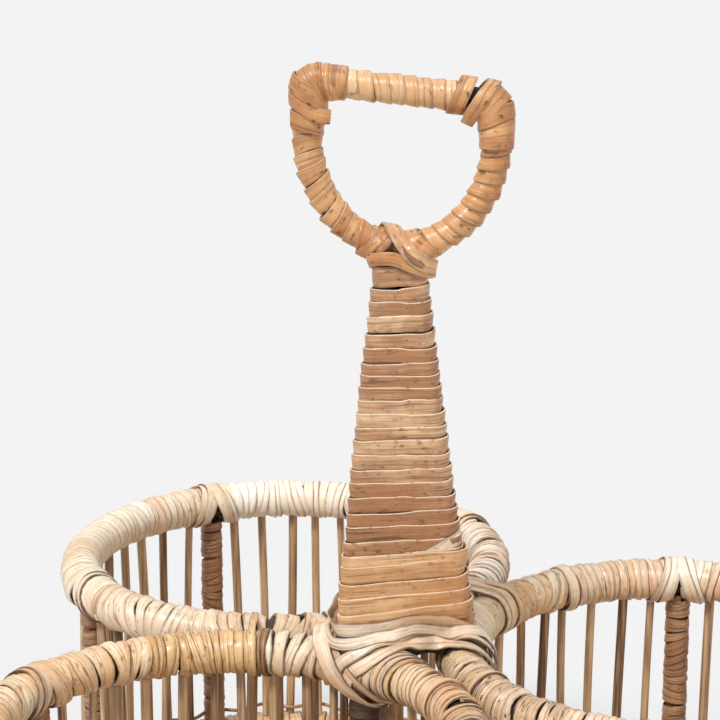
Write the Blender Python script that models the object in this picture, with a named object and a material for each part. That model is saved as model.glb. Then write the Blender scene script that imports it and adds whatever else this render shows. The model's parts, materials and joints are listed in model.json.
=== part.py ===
"""Rattan basket for three bottles: three spindle-walled rings round one wrapped stem with a D handle.

Metres, +Z up. The underside of the base hoops is at z = 0 and the origin is below the middle of
the basket's box, so the stem stands a little to the left of it, at x = STEM_X.
"""
from math import asin, atan2, cos, pi, radians, sin, sqrt, tau

import bmesh
import bpy
import numpy as np
from mathutils import Matrix, Vector

MILLIMETRE = 0.001

# Clearances between pieces that touch on the real basket
CLEARANCE = 0.0003
WRAP_CLEARANCE = 0.0004
LOBE_CLEARANCE = 0.0006
STRIP_GAP = 0.0006

# The three rings
LOBES = 3
HOOP_RADIUS = 0.075
HOOP_POLE_RADIUS = 0.006
HOOP_BINDING_THICKNESS = 0.0011
RIM_RISE = 0.0985
HOOP_STEPS = 24
HOOP_SIDES = 8

# The floor boards
FLOOR_THICKNESS = 0.004

# The wall of each ring: posts on the quarters, spindles between them
BAYS = 4
SPINDLES_PER_BAY = 10
SPINDLE_RADIUS = 0.00155
SPINDLE_SIDES = 6
STRAND_RISE = 0.0016
STRAND_HEIGHT = 0.0014
POST_RADIUS = 0.0033
POST_BINDING_THICKNESS = 0.0008

# The stem: one rod from each ring, drawn together under the handle and twisted a little
ROD_RADIUS = 0.004
ROD_SIDES = 8
ROD_POINTS = 10
LEAN_START = 0.008
LEAN_HEIGHT = 0.116
LEAN_EASE_SHARE = 0.28
STEM_TIP_HEIGHT = 0.0068
STEM_TWIST_ANGLE = radians(-33)
STEM_STRIP_THICKNESS = 0.001
STEM_LOOPS = 19
STEM_CORNER_STATIONS = 4
FOOT_HEIGHT = 0.0255
FOOT_STRIP_THICKNESS = 0.0014
FOOT_LOOPS = 5
NECK_HEIGHT = 0.0085
NECK_STRIP_THICKNESS = 0.0016
NECK_LOOPS = 2

# The handle: a bent bow under a straight bar, which slopes down to the right
BOW_DEPTH = 0.036
BOW_HALF_WIDTH = 0.030
BOW_STEPS = 20
HANDLE_POST_HEIGHT = 0.014
BAR_SLOPE_ANGLE = radians(5.6)
HANDLE_POLE_RADIUS = 0.0035
HANDLE_STRIP_THICKNESS = 0.001
BOW_LOOPS = 24
BAR_LOOPS = 9
HANDLE_STATIONS = 10

# The lashings of the rims to each other, and of the handle's corners
LASHING_STATIONS = 12
RIM_LASHING_CLEARANCE = 0.0012
RIM_LASHING_LOOPS = 2
RIM_LASHING_PITCH = 0.0036
RIM_LASHING_SHIFT = 0.00175
CORNER_CLEARANCE = 0.0017
CORNER_LOOPS = 2
CORNER_PITCH = 0.0038
CORNER_REACH = 0.0134

# What follows from them
HOOP_HALF = HOOP_POLE_RADIUS + CLEARANCE + HOOP_BINDING_THICKNESS
LOBE_DISTANCE = (HOOP_RADIUS + HOOP_HALF + LOBE_CLEARANCE / 2) * 2 / sqrt(3)
STEM_X = -LOBE_DISTANCE / 4
BASE_Z = HOOP_HALF
RIM_Z = BASE_Z + RIM_RISE
WALL_BOTTOM = BASE_Z + HOOP_HALF + CLEARANCE
WALL_TOP = RIM_Z - HOOP_HALF - CLEARANCE
ROD_FOOT_DISTANCE = LOBE_DISTANCE - HOOP_RADIUS
ROD_TIP_DISTANCE = (2 * ROD_RADIUS + CLEARANCE) / sqrt(3)
HANDLE_HALF = HANDLE_POLE_RADIUS + WRAP_CLEARANCE + HANDLE_STRIP_THICKNESS
ROD_TOP = RIM_Z + LEAN_START + LEAN_HEIGHT + STEM_TIP_HEIGHT
BOW_Z = ROD_TOP + CLEARANCE + HANDLE_HALF
BAR_Z = BOW_Z + BOW_DEPTH + HANDLE_POST_HEIGHT

CREAM_CANE = (0.80, 0.62, 0.40)
TAN_CANE = (0.58, 0.36, 0.18)
HONEY_CANE = (0.66, 0.38, 0.16)
BROWN_CANE = (0.30, 0.17, 0.08)
SPINDLE_BROWN = (0.34, 0.20, 0.10)
BOARD_TAN = (0.52, 0.36, 0.21)


def finish(name, colour, roughness):
    """A plain wood or cane finish."""
    material = bpy.data.materials.new(name)
    material.use_nodes = True
    shader = material.node_tree.nodes["Principled BSDF"]
    shader.inputs["Base Color"].default_value = (*colour, 1)
    shader.inputs["Roughness"].default_value = roughness
    shader.inputs["Metallic"].default_value = 0
    return material


def piece(name, made, colour, roughness=0.45, place=Matrix()):
    """Turns a bmesh into a named object with its finish, shaded smooth round its pole."""
    bmesh.ops.recalc_face_normals(made, faces=made.faces)
    mesh = bpy.data.meshes.new(name)
    made.to_mesh(mesh)
    made.free()
    mesh.shade_smooth()
    mesh.set_sharp_from_angle(angle=radians(50))
    mesh.materials.append(finish(name, colour, roughness))
    item = bpy.data.objects.new(name, mesh)
    item.matrix_world = place
    bpy.context.collection.objects.link(item)
    return item


def polygon(apothem, sides, middle=(0, 0)):
    """A regular outline with a flat at its foot, as (distance, height) pairs."""
    radius = apothem / cos(pi / sides)
    angles = [(number + 1 / 2) * tau / sides - pi / 2 for number in range(sides)]
    return [(middle[0] + radius * cos(angle), middle[1] + radius * sin(angle)) for angle in angles]


def spun(outline, bore=(), start=0, turn=tau, steps=HOOP_STEPS):
    """An outline, and the bore inside it with as many corners, turned about Z."""
    made = bmesh.new()
    rings = [
        [made.verts.new((distance, 0, height)) for distance, height in line]
        for line in (outline, bore) if line
    ]
    for ring in rings:
        for pair in zip(ring, ring[1:] + ring[:1]):
            made.edges.new(pair)
    if turn < tau and bore:
        outer, inner = rings
        for corner in range(-1, len(outer) - 1):
            made.faces.new((outer[corner], outer[corner + 1], inner[corner + 1], inner[corner]))
    elif turn < tau:
        made.faces.new(rings[0])
    bmesh.ops.rotate(made, verts=made.verts, matrix=Matrix.Rotation(start, 3, "Z"))
    bmesh.ops.spin(
        made, geom=made.verts[:] + made.edges[:] + made.faces[:], axis=(0, 0, 1), cent=(0, 0, 0),
        angle=turn, steps=steps, use_merge=turn == tau,
    )
    return made


def upright(radius, bottom, top, sides):
    """A straight round stick."""
    made = bmesh.new()
    middle = Matrix.Translation((0, 0, (bottom + top) / 2))
    bmesh.ops.create_cone(
        made, cap_ends=True, segments=sides, radius1=radius, radius2=radius,
        depth=top - bottom, matrix=middle,
    )
    return made


def sleeve(inner, outer, bottom, top, sides):
    """A straight round sleeve."""
    return spun([(inner, bottom), (outer, bottom), (outer, top), (inner, top)], steps=sides)


def bent_rod(name, points, radius, sides, colour, place=Matrix()):
    """A rod of even thickness along a line of points, with square ends."""
    curve = bpy.data.curves.new(name, "CURVE")
    curve.dimensions = "3D"
    curve.bevel_depth = radius
    curve.bevel_resolution = sides // 2 - 2
    curve.use_fill_caps = True
    line = curve.splines.new("POLY")
    line.points.add(len(points) - 1)
    for slot, point in zip(line.points, points):
        slot.co = (*point, 1)
    line.use_smooth = True
    curve.materials.append(finish(name, colour, 0.5))
    item = bpy.data.objects.new(name, curve)
    item.matrix_world = place
    bpy.context.collection.objects.link(item)
    return item


def wound(name, middle, loops, stations, thickness, colour, place=Matrix()):
    """One unbroken flat strip, wound round and round.

    middle(loop, station) is the point of the strip's middle line at that station of that loop.
    The strip is as wide as the space from loop to loop, less STRIP_GAP.
    """
    rings = []
    for step in range(loops * stations + 1):
        loop, station = divmod(step, stations)
        here = middle(loop, station)
        ahead = middle(*divmod(step + 1, stations)) - here
        behind = here - middle(*divmod(step - 1, stations))
        next_loop = middle(loop + 1, station)
        last_loop = middle(loop - 1, station)
        pitch = min((next_loop - here).length, (here - last_loop).length)
        along = (middle(loop + 1 / 2, station) - middle(loop - 1 / 2, station)).normalized()
        outward = along.cross(ahead + behind).normalized()
        side = along * (pitch - STRIP_GAP) / 2
        skin = outward * thickness / 2
        rings.append([here + side + skin, here + side - skin, here - side - skin, here - side + skin])
    made = bmesh.new()
    rings = [[made.verts.new(corner) for corner in ring] for ring in rings]
    for ring, following in zip(rings, rings[1:]):
        for corner in range(4):
            beside = (corner + 1) % 4
            made.faces.new((ring[corner], ring[beside], following[beside], following[corner]))
    made.faces.new(rings[0])
    made.faces.new(reversed(rings[-1]))
    corners = np.array([[vert.co for vert in ring] for ring in rings])
    least = min(
        np.linalg.norm(corners[step][:, None] - later[None], axis=2).min()
        for step in range(len(corners))
        for later in [corners[step + stations // 2:].reshape(-1, 3)]
        if len(later)
    )
    print(f"{name}: least gap from loop to loop {least / MILLIMETRE:.2f} mm")
    return piece(name, made, colour, place=place)


def rod_middle(height, turn=0):
    """The middle of a stem rod, which leans in and twists round the stem's axis as it rises."""
    share = min(max((height - RIM_Z - LEAN_START) / LEAN_HEIGHT, 0), 1)
    ease = LEAN_EASE_SHARE
    lean = share - ease / 2 if share > ease else share * share / (2 * ease)
    distance = ROD_FOOT_DISTANCE + (ROD_TIP_DISTANCE - ROD_FOOT_DISTANCE) * lean / (1 - ease / 2)
    turn += STEM_TWIST_ANGLE * share
    return Vector((distance * cos(turn), distance * sin(turn), height))


def stem_strip(bottom, top, loops, thickness):
    """The line of a strip round the three rods: level round each rod, climbing between them."""
    pitch = (top - bottom + STRIP_GAP) / (loops + 1)
    start = bottom + (pitch - STRIP_GAP) / 2
    reach = ROD_RADIUS + WRAP_CLEARANCE + thickness / 2

    def middle(loop, station):
        rod, corner = divmod(station, STEM_CORNER_STATIONS)
        height = start + pitch * (loop + rod / LOBES)
        here = rod_middle(height, rod * tau / LOBES)
        facing = atan2(here.y, here.x)
        facing += tau / LOBES * (corner / (STEM_CORNER_STATIONS - 1) - 1 / 2)
        return here + Vector((cos(facing), sin(facing), 0)) * reach
    return middle


def rim_strip():
    """The line of a strip round two rims, where they lie side by side across Y."""
    reach = HOOP_HALF / cos(pi / HOOP_SIDES) + RIM_LASHING_CLEARANCE + STEM_STRIP_THICKNESS / 2
    spread = HOOP_HALF + LOBE_CLEARANCE / 2

    def middle(loop, station):
        turn = tau * (station + 1 / 2) / LASHING_STATIONS + pi / 2
        climb = RIM_LASHING_PITCH * (loop + station / LASHING_STATIONS - RIM_LASHING_LOOPS / 2)
        across = spread if cos(turn) > 0 else -spread
        return Vector((-climb - RIM_LASHING_SHIFT, across + reach * cos(turn), reach * sin(turn)))
    return middle


def corner_strip(corner, bar_way, post_way):
    """The line of a strip slung slantwise round an elbow, first on the bar and then on the post."""
    wide_way = Vector((0, 1, 0))
    outward = -(bar_way + post_way).normalized()
    slant = outward.cross(bar_way).length
    half_width = HANDLE_POLE_RADIUS + CORNER_CLEARANCE + HANDLE_STRIP_THICKNESS / 2

    def middle(loop, station):
        turn = tau * station / LASHING_STATIONS
        climb = CORNER_PITCH * (loop + station / LASHING_STATIONS - CORNER_LOOPS / 2)
        pole = bar_way if climb < 0 else post_way
        return (
            corner + pole * abs(climb) / slant + outward * half_width / slant * cos(turn)
            + wide_way * half_width * sin(turn)
        )
    return middle


def handle_strip(line, start, end, loops):
    """The line of a strip round a handle pole, from start past its one end to end before its other."""
    reach = HANDLE_POLE_RADIUS + WRAP_CLEARANCE + HANDLE_STRIP_THICKNESS / 2
    length = sum((b - a).length for a, b in zip(line, line[1:])) - start - end
    pitch = (length + STRIP_GAP) / (loops + 1)

    def middle(loop, station):
        turn = tau * station / HANDLE_STATIONS
        travel = start + (pitch - STRIP_GAP) / 2 + pitch * (loop + station / HANDLE_STATIONS)
        place, along = along_line(line, travel)
        side = along.cross(Vector((0, 1, 0)))
        return place + (side * cos(turn) + Vector((0, 1, 0)) * sin(turn)) * reach
    return middle


def bar_height(across):
    """The height of the bar's middle line at some distance to the right of the stem."""
    return BAR_Z - across * sin(BAR_SLOPE_ANGLE) / cos(BAR_SLOPE_ANGLE)


def bow_line():
    """The bow's middle line in XZ, from its left end round the bottom to its right end."""
    seat = (HANDLE_POLE_RADIUS + CLEARANCE) / cos(BAR_SLOPE_ANGLE)
    drop = HANDLE_POLE_RADIUS * sin(BAR_SLOPE_ANGLE)
    points = []
    for number in range(BOW_STEPS + 1):
        turn = pi * number / BOW_STEPS
        height = BOW_Z + BOW_DEPTH * (1 - sin(turn))
        points.append(Vector((-BOW_HALF_WIDTH * cos(turn), 0, height)))
    for end, position in ((-BOW_HALF_WIDTH, 0), (BOW_HALF_WIDTH, len(points) + 1)):
        top = bar_height(end) - seat - drop
        points.insert(position, Vector((end, 0, top)))
    return points


def along_line(line, travel):
    """The place and the direction at some travel along a line of points, turning evenly."""
    ways = [b - a for a, b in zip(line, line[1:])]
    number = 0
    while travel > ways[number].length and number < len(ways) - 1:
        travel -= ways[number].length
        number += 1
    share = travel / ways[number].length
    beside = number + 1 if share > 1 / 2 else number - 1
    beside = min(max(beside, 0), len(ways) - 1)
    blend = min(abs(share - 1 / 2), 1 / 2)
    way = ways[number].normalized() * (1 - blend) + ways[beside].normalized() * blend
    return line[number] + ways[number] * share, way.normalized()


def spindle_bay(first_turn):
    """The spindles of one bay, held together near their feet by the strand between them.

    The side between corners 1 and 2 of a spindle faces the next one, and the side between
    corners 4 and 5 the one before. The other two corners have no edge at the strand.
    """
    low = WALL_BOTTOM + STRAND_RISE
    levels = (WALL_BOTTOM, low, low + STRAND_HEIGHT, WALL_TOP)
    strand_level = levels.index(low)
    next_side, last_side = 1, 4
    made = bmesh.new()
    step = tau / BAYS / (SPINDLES_PER_BAY + 1)
    strand_end = None
    for number in range(SPINDLES_PER_BAY):
        spin = Matrix.Rotation(first_turn + (number + 1) * step, 3, "Z")
        columns = []
        for side in range(SPINDLE_SIDES):
            angle = tau * side / SPINDLE_SIDES
            across = (HOOP_RADIUS + SPINDLE_RADIUS * cos(angle), SPINDLE_RADIUS * sin(angle))
            plain = side % (SPINDLE_SIDES // 2) == 0
            heights = (WALL_BOTTOM, WALL_TOP) if plain else levels
            columns.append([made.verts.new(spin @ Vector((*across, height))) for height in heights])
        made.faces.new([column[0] for column in reversed(columns)])
        made.faces.new([column[-1] for column in columns])
        joined = [last_side] if strand_end else []
        if number < SPINDLES_PER_BAY - 1:
            joined.append(next_side)
        for side, left in enumerate(columns):
            right = columns[(side + 1) % SPINDLE_SIDES]
            if len(left) != len(right):
                made.faces.new(left + right[::-1])
                continue
            for level in range(len(levels) - 1):
                if level == strand_level and side in joined:
                    continue
                made.faces.new((left[level], right[level], right[level + 1], left[level + 1]))
        strand = slice(strand_level, strand_level + 2)
        strand_start = columns[last_side + 1][strand] + columns[last_side][strand][::-1]
        for corner in range(len(strand_end or ())):
            beside = (corner + 1) % len(strand_end)
            ends = strand_end[corner], strand_end[beside]
            made.faces.new((*ends, strand_start[beside], strand_start[corner]))
        strand_end = columns[next_side][strand] + columns[next_side + 1][strand][::-1]
    return made


for leftover in list(bpy.data.objects):
    bpy.data.objects.remove(leftover)

stem_place = Matrix.Translation((STEM_X, 0, 0))
hoop_outline = polygon(HOOP_HALF, HOOP_SIDES, (HOOP_RADIUS, 0))
bore_outline = polygon(HOOP_POLE_RADIUS + CLEARANCE, HOOP_SIDES, (HOOP_RADIUS, 0))
pole_outline = polygon(HOOP_POLE_RADIUS, HOOP_SIDES, (HOOP_RADIUS, 0))
rod_opening = asin((ROD_RADIUS + CLEARANCE) / HOOP_RADIUS)
binding_radius = POST_RADIUS + CLEARANCE + POST_BINDING_THICKNESS
rod_sleeve = ROD_RADIUS / cos(pi / ROD_SIDES) + CLEARANCE

lean_heights = [
    RIM_Z + LEAN_START + LEAN_HEIGHT * number / (ROD_POINTS - 1)
    for number in range(ROD_POINTS)
]

# Each ring, with its floor, posts, spindles and its rod of the stem
for lobe in range(LOBES):
    facing = stem_place @ Matrix.Rotation(tau * lobe / LOBES, 4, "Z")
    lobe_place = facing @ Matrix.Translation((LOBE_DISTANCE, 0, 0))
    rim_place = lobe_place @ Matrix.Translation((0, 0, RIM_Z))
    base_place = lobe_place @ Matrix.Translation((0, 0, BASE_Z))
    arc = {"start": rod_opening - pi, "turn": tau - 2 * rod_opening}
    label = lobe + 1
    piece(f"base_hoop_{label}", spun(hoop_outline), TAN_CANE, place=base_place)
    piece(f"rim_hoop_{label}", spun(pole_outline, **arc), TAN_CANE, place=rim_place)
    piece(f"rim_binding_{label}", spun(hoop_outline, bore_outline, **arc), CREAM_CANE, place=rim_place)
    board = upright(
        HOOP_RADIUS - HOOP_HALF - CLEARANCE, BASE_Z - FLOOR_THICKNESS / 2,
        BASE_Z + FLOOR_THICKNESS / 2, HOOP_STEPS,
    )
    piece(f"floor_board_{label}", board, BOARD_TAN, 0.6, lobe_place)
    for bay in range(BAYS):
        turn = tau * bay / BAYS
        piece(f"spindle_bay_{label}_{bay + 1}", spindle_bay(turn), SPINDLE_BROWN, place=lobe_place)
        post_place = lobe_place @ Matrix.Rotation(turn, 4, "Z") @ Matrix.Translation((HOOP_RADIUS, 0, 0))
        if bay == BAYS // 2:
            inner, outer = rod_sleeve, rod_sleeve + POST_BINDING_THICKNESS
        else:
            inner, outer = POST_RADIUS + CLEARANCE, binding_radius
            post = upright(POST_RADIUS, WALL_BOTTOM, WALL_TOP, HOOP_SIDES)
            piece(f"post_{label}_{bay + 1}", post, SPINDLE_BROWN, place=post_place)
        binding = sleeve(inner, outer, WALL_BOTTOM, WALL_TOP, HOOP_SIDES)
        piece(f"post_binding_{label}_{bay + 1}", binding, BROWN_CANE, place=post_place)
    rod_heights = (WALL_BOTTOM, *lean_heights, ROD_TOP)
    rod_points = [rod_middle(height) for height in rod_heights]
    bent_rod(f"stem_rod_{label}", rod_points, ROD_RADIUS, ROD_SIDES, TAN_CANE, facing)

    # Two loops round this rim and the next one's
    between = (
        stem_place @ Matrix.Rotation(tau * (lobe + 1 / 2) / LOBES, 4, "Z")
        @ Matrix.Translation((LOBE_DISTANCE / 2, 0, RIM_Z))
    )
    wound(
        f"rim_lashing_{label}", rim_strip(), RIM_LASHING_LOOPS, LASHING_STATIONS,
        STEM_STRIP_THICKNESS, BROWN_CANE, between,
    )

# The strips round the stem
stem_stations = STEM_CORNER_STATIONS * LOBES
foot_bottom = RIM_Z + HOOP_HALF + CLEARANCE
foot_top = foot_bottom + FOOT_HEIGHT
neck_bottom = ROD_TOP - NECK_HEIGHT
stem_span = (foot_top + STRIP_GAP, neck_bottom - STRIP_GAP)
for name, bottom, top, loops, thickness, colour in (
    ("foot_binding", foot_bottom, foot_top, FOOT_LOOPS, FOOT_STRIP_THICKNESS, HONEY_CANE),
    ("stem_binding", *stem_span, STEM_LOOPS, STEM_STRIP_THICKNESS, TAN_CANE),
    ("neck_binding", neck_bottom, ROD_TOP, NECK_LOOPS, NECK_STRIP_THICKNESS, BROWN_CANE),
):
    line = stem_strip(bottom, top, loops, thickness)
    wound(name, line, loops, stem_stations, thickness, colour, stem_place)

# The handle, with the two lashings of its corners
bow_points = bow_line()
bar_end = BOW_HALF_WIDTH + HANDLE_POLE_RADIUS
bar_points = [Vector((across, 0, bar_height(across))) for across in (-bar_end, bar_end)]
bent_rod("handle_bow", bow_points, HANDLE_POLE_RADIUS, HOOP_SIDES, TAN_CANE, stem_place)
bent_rod("handle_bar", bar_points, HANDLE_POLE_RADIUS, HOOP_SIDES, TAN_CANE, stem_place)
for name, points, start, loops in (
    ("bow_binding", bow_points, CORNER_REACH - HANDLE_POLE_RADIUS, BOW_LOOPS),
    ("bar_binding", bar_points, CORNER_REACH + HANDLE_POLE_RADIUS, BAR_LOOPS),
):
    line = handle_strip(points, start, start, loops)
    wound(name, line, loops, HANDLE_STATIONS, HANDLE_STRIP_THICKNESS, HONEY_CANE, stem_place)
bar_way = (bar_points[1] - bar_points[0]).normalized()
for label, across, way in (("left", -BOW_HALF_WIDTH, bar_way), ("right", BOW_HALF_WIDTH, -bar_way)):
    corner = Vector((across, 0, bar_height(across)))
    line = corner_strip(corner, way, Vector((0, 0, -1)))
    name = f"corner_lashing_{label}"
    wound(name, line, CORNER_LOOPS, LASHING_STATIONS, HANDLE_STRIP_THICKNESS, HONEY_CANE, stem_place)
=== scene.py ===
import json
from math import atan2, cos, hypot, pi, radians, sin, tan, tau

import bmesh
import bpy
from mathutils import Matrix, Vector

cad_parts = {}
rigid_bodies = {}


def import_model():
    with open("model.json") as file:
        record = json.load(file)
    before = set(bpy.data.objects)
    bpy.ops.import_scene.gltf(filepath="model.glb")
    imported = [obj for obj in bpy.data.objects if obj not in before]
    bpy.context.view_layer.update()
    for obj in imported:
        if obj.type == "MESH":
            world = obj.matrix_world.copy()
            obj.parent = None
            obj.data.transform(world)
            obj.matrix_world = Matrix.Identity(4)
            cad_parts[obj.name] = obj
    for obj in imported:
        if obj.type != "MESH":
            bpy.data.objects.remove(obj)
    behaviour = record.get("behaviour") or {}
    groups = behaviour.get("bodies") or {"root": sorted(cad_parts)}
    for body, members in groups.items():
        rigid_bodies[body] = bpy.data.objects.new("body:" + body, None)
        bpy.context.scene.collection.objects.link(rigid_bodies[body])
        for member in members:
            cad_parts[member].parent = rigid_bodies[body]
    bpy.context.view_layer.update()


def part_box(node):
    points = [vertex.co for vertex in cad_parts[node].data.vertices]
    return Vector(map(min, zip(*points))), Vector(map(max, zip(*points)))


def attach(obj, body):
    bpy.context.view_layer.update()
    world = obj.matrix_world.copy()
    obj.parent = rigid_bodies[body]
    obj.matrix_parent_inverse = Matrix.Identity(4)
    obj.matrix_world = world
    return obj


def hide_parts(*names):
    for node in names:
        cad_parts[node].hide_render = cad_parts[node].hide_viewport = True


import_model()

# ---------------------------------------------------------------------------------------------
# Base rings. Each is a bent rattan pole, wound from end to end with split cane about 4 mm wide.
# A turn lies with its hind edge on the turn before it, so that the edges stand up like shingles.
# ---------------------------------------------------------------------------------------------
MM = 0.001
RINGS = (1, 2, 3)


def seen(red, green, blue):
    """A colour as the eye sees it, out of 255, as the light it sends back."""
    parts = [part / 255 for part in (red, green, blue)]
    linear = [part / 12.92 if part < 0.04045 else ((part + 0.055) / 1.055) ** 2.4 for part in parts]
    return (*linear, 1)


def add(tree, kind, wired=None, **settings):
    """Puts a node in a tree. wired gives each input, by name or number, its socket or its value."""
    made = tree.nodes.new(kind)
    for name, value in settings.items():
        setattr(made, name, value)
    for slot, value in (wired or {}).items():
        if isinstance(value, bpy.types.NodeSocket):
            tree.links.new(value, made.inputs[slot])
        else:
            made.inputs[slot].default_value = value
    return made


def number(tree, operation, *values, **settings):
    """The result of one sum on numbers."""
    kind = "ShaderNodeMath"
    return add(tree, kind, dict(enumerate(values)), operation=operation, **settings).outputs[0]


def vector(tree, operation, *values):
    """The result of one sum on vectors, or its number for a dot product."""
    made = add(tree, "ShaderNodeVectorMath", operation=operation)
    scale = operation == "SCALE"
    for place, value in enumerate(values):
        slot = made.inputs["Scale"] if scale and place == 1 else made.inputs[place]
        if isinstance(value, bpy.types.NodeSocket):
            tree.links.new(value, slot)
        else:
            slot.default_value = value
    return made.outputs["Value"] if operation == "DOT_PRODUCT" else made.outputs["Vector"]


def new_tree(name, kind, takes, gives):
    """A node group with its named sockets. A tuple in takes is a socket's kind and start value."""
    tree = bpy.data.node_groups.new(name, kind)
    for label, (socket_kind, start) in takes.items():
        socket = tree.interface.new_socket(label, in_out="INPUT", socket_type=socket_kind)
        if start is not None:
            socket.default_value = start
    for label, socket_kind in gives.items():
        tree.interface.new_socket(label, in_out="OUTPUT", socket_type=socket_kind)
    inside = tree.nodes.new("NodeGroupInput").outputs
    outside = tree.nodes.new("NodeGroupOutput").inputs
    return tree, inside, outside


def named(tree, kind, label):
    """Reads an attribute by its name in a geometry tree."""
    return add(tree, "GeometryNodeInputNamedAttribute", {"Name": label}, data_type=kind).outputs[0]


def wavering(tree, along, rate, seed):
    """A value that wanders smoothly between about -1 and 1 as along goes on."""
    place = number(tree, "MULTIPLY_ADD", along, rate, seed)
    waves = add(tree, "ShaderNodeTexNoise", {"W": place, "Scale": 1.0, "Detail": 0.0}, noise_dimensions="1D")
    return number(tree, "MULTIPLY_ADD", waves.outputs[0], 4.0, -2.0)


def build_strip_tree():
    """Lays a domed strip of split cane along a line, its skin side towards the line's facing."""
    tree, given, out = new_tree("cane strip", "GeometryNodeTree", {
        "Line": ("NodeSocketGeometry", None), "Width": ("NodeSocketFloat", 4 * MM),
        "Thickness": ("NodeSocketFloat", 0.7 * MM), "Unevenness": ("NodeSocketFloat", 0.1),
        "Seed": ("NodeSocketFloat", 0.0), "Cane": ("NodeSocketMaterial", None),
    }, {"Strip": "NodeSocketGeometry"})
    outline = add(tree, "GeometryNodeCurvePrimitiveCircle", {"Resolution": 12, "Radius": 1.0})
    ways = add(tree, "ShaderNodeSeparateXYZ", {0: add(tree, "GeometryNodeInputPosition").outputs[0]})

    def flattened(way, power):
        size = number(tree, "POWER", number(tree, "ABSOLUTE", way), power)
        return number(tree, "MULTIPLY", size, number(tree, "SIGN", way))
    across = flattened(ways.outputs[0], 0.4)
    rise = flattened(ways.outputs[1], 0.5)
    lens = add(tree, "ShaderNodeCombineXYZ", {
        0: number(tree, "MULTIPLY", rise, number(tree, "MULTIPLY", given["Thickness"], 0.5)),
        1: number(tree, "MULTIPLY", across, number(tree, "MULTIPLY", given["Width"], 0.5)),
    })
    profile = add(tree, "GeometryNodeStoreNamedAttribute", {
        "Geometry": outline.outputs[0], "Name": "across", "Value": across,
    }, data_type="FLOAT", domain="POINT")
    profile = add(tree, "GeometryNodeSetPosition", {
        "Geometry": profile.outputs[0], "Position": lens.outputs[0],
    })
    line = add(tree, "GeometryNodeSetCurveNormal", {
        "Curve": given["Line"], "Normal": named(tree, "FLOAT_VECTOR", "facing"),
    }, mode="FREE")
    wave = wavering(tree, named(tree, "FLOAT", "along"), 95.0, given["Seed"])
    sweep = add(tree, "GeometryNodeCurveToMesh", {
        "Curve": line.outputs[0], "Profile Curve": profile.outputs[0],
        "Scale": number(tree, "MULTIPLY_ADD", wave, given["Unevenness"], 1.0), "Fill Caps": True,
    })
    smooth = add(tree, "GeometryNodeSetShadeSmooth", {"Geometry": sweep.outputs[0]})
    strip = add(tree, "GeometryNodeStoreNamedAttribute", {
        "Geometry": smooth.outputs[0], "Name": "strip", "Value": given["Seed"],
    }, data_type="FLOAT", domain="POINT")
    real = add(tree, "GeometryNodeRealizeInstances", {"Geometry": strip.outputs[0]})
    skin = add(tree, "GeometryNodeSetMaterial", {"Geometry": real.outputs[0], "Material": given["Cane"]})
    tree.links.new(skin.outputs[0], out["Strip"])
    return tree


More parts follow.
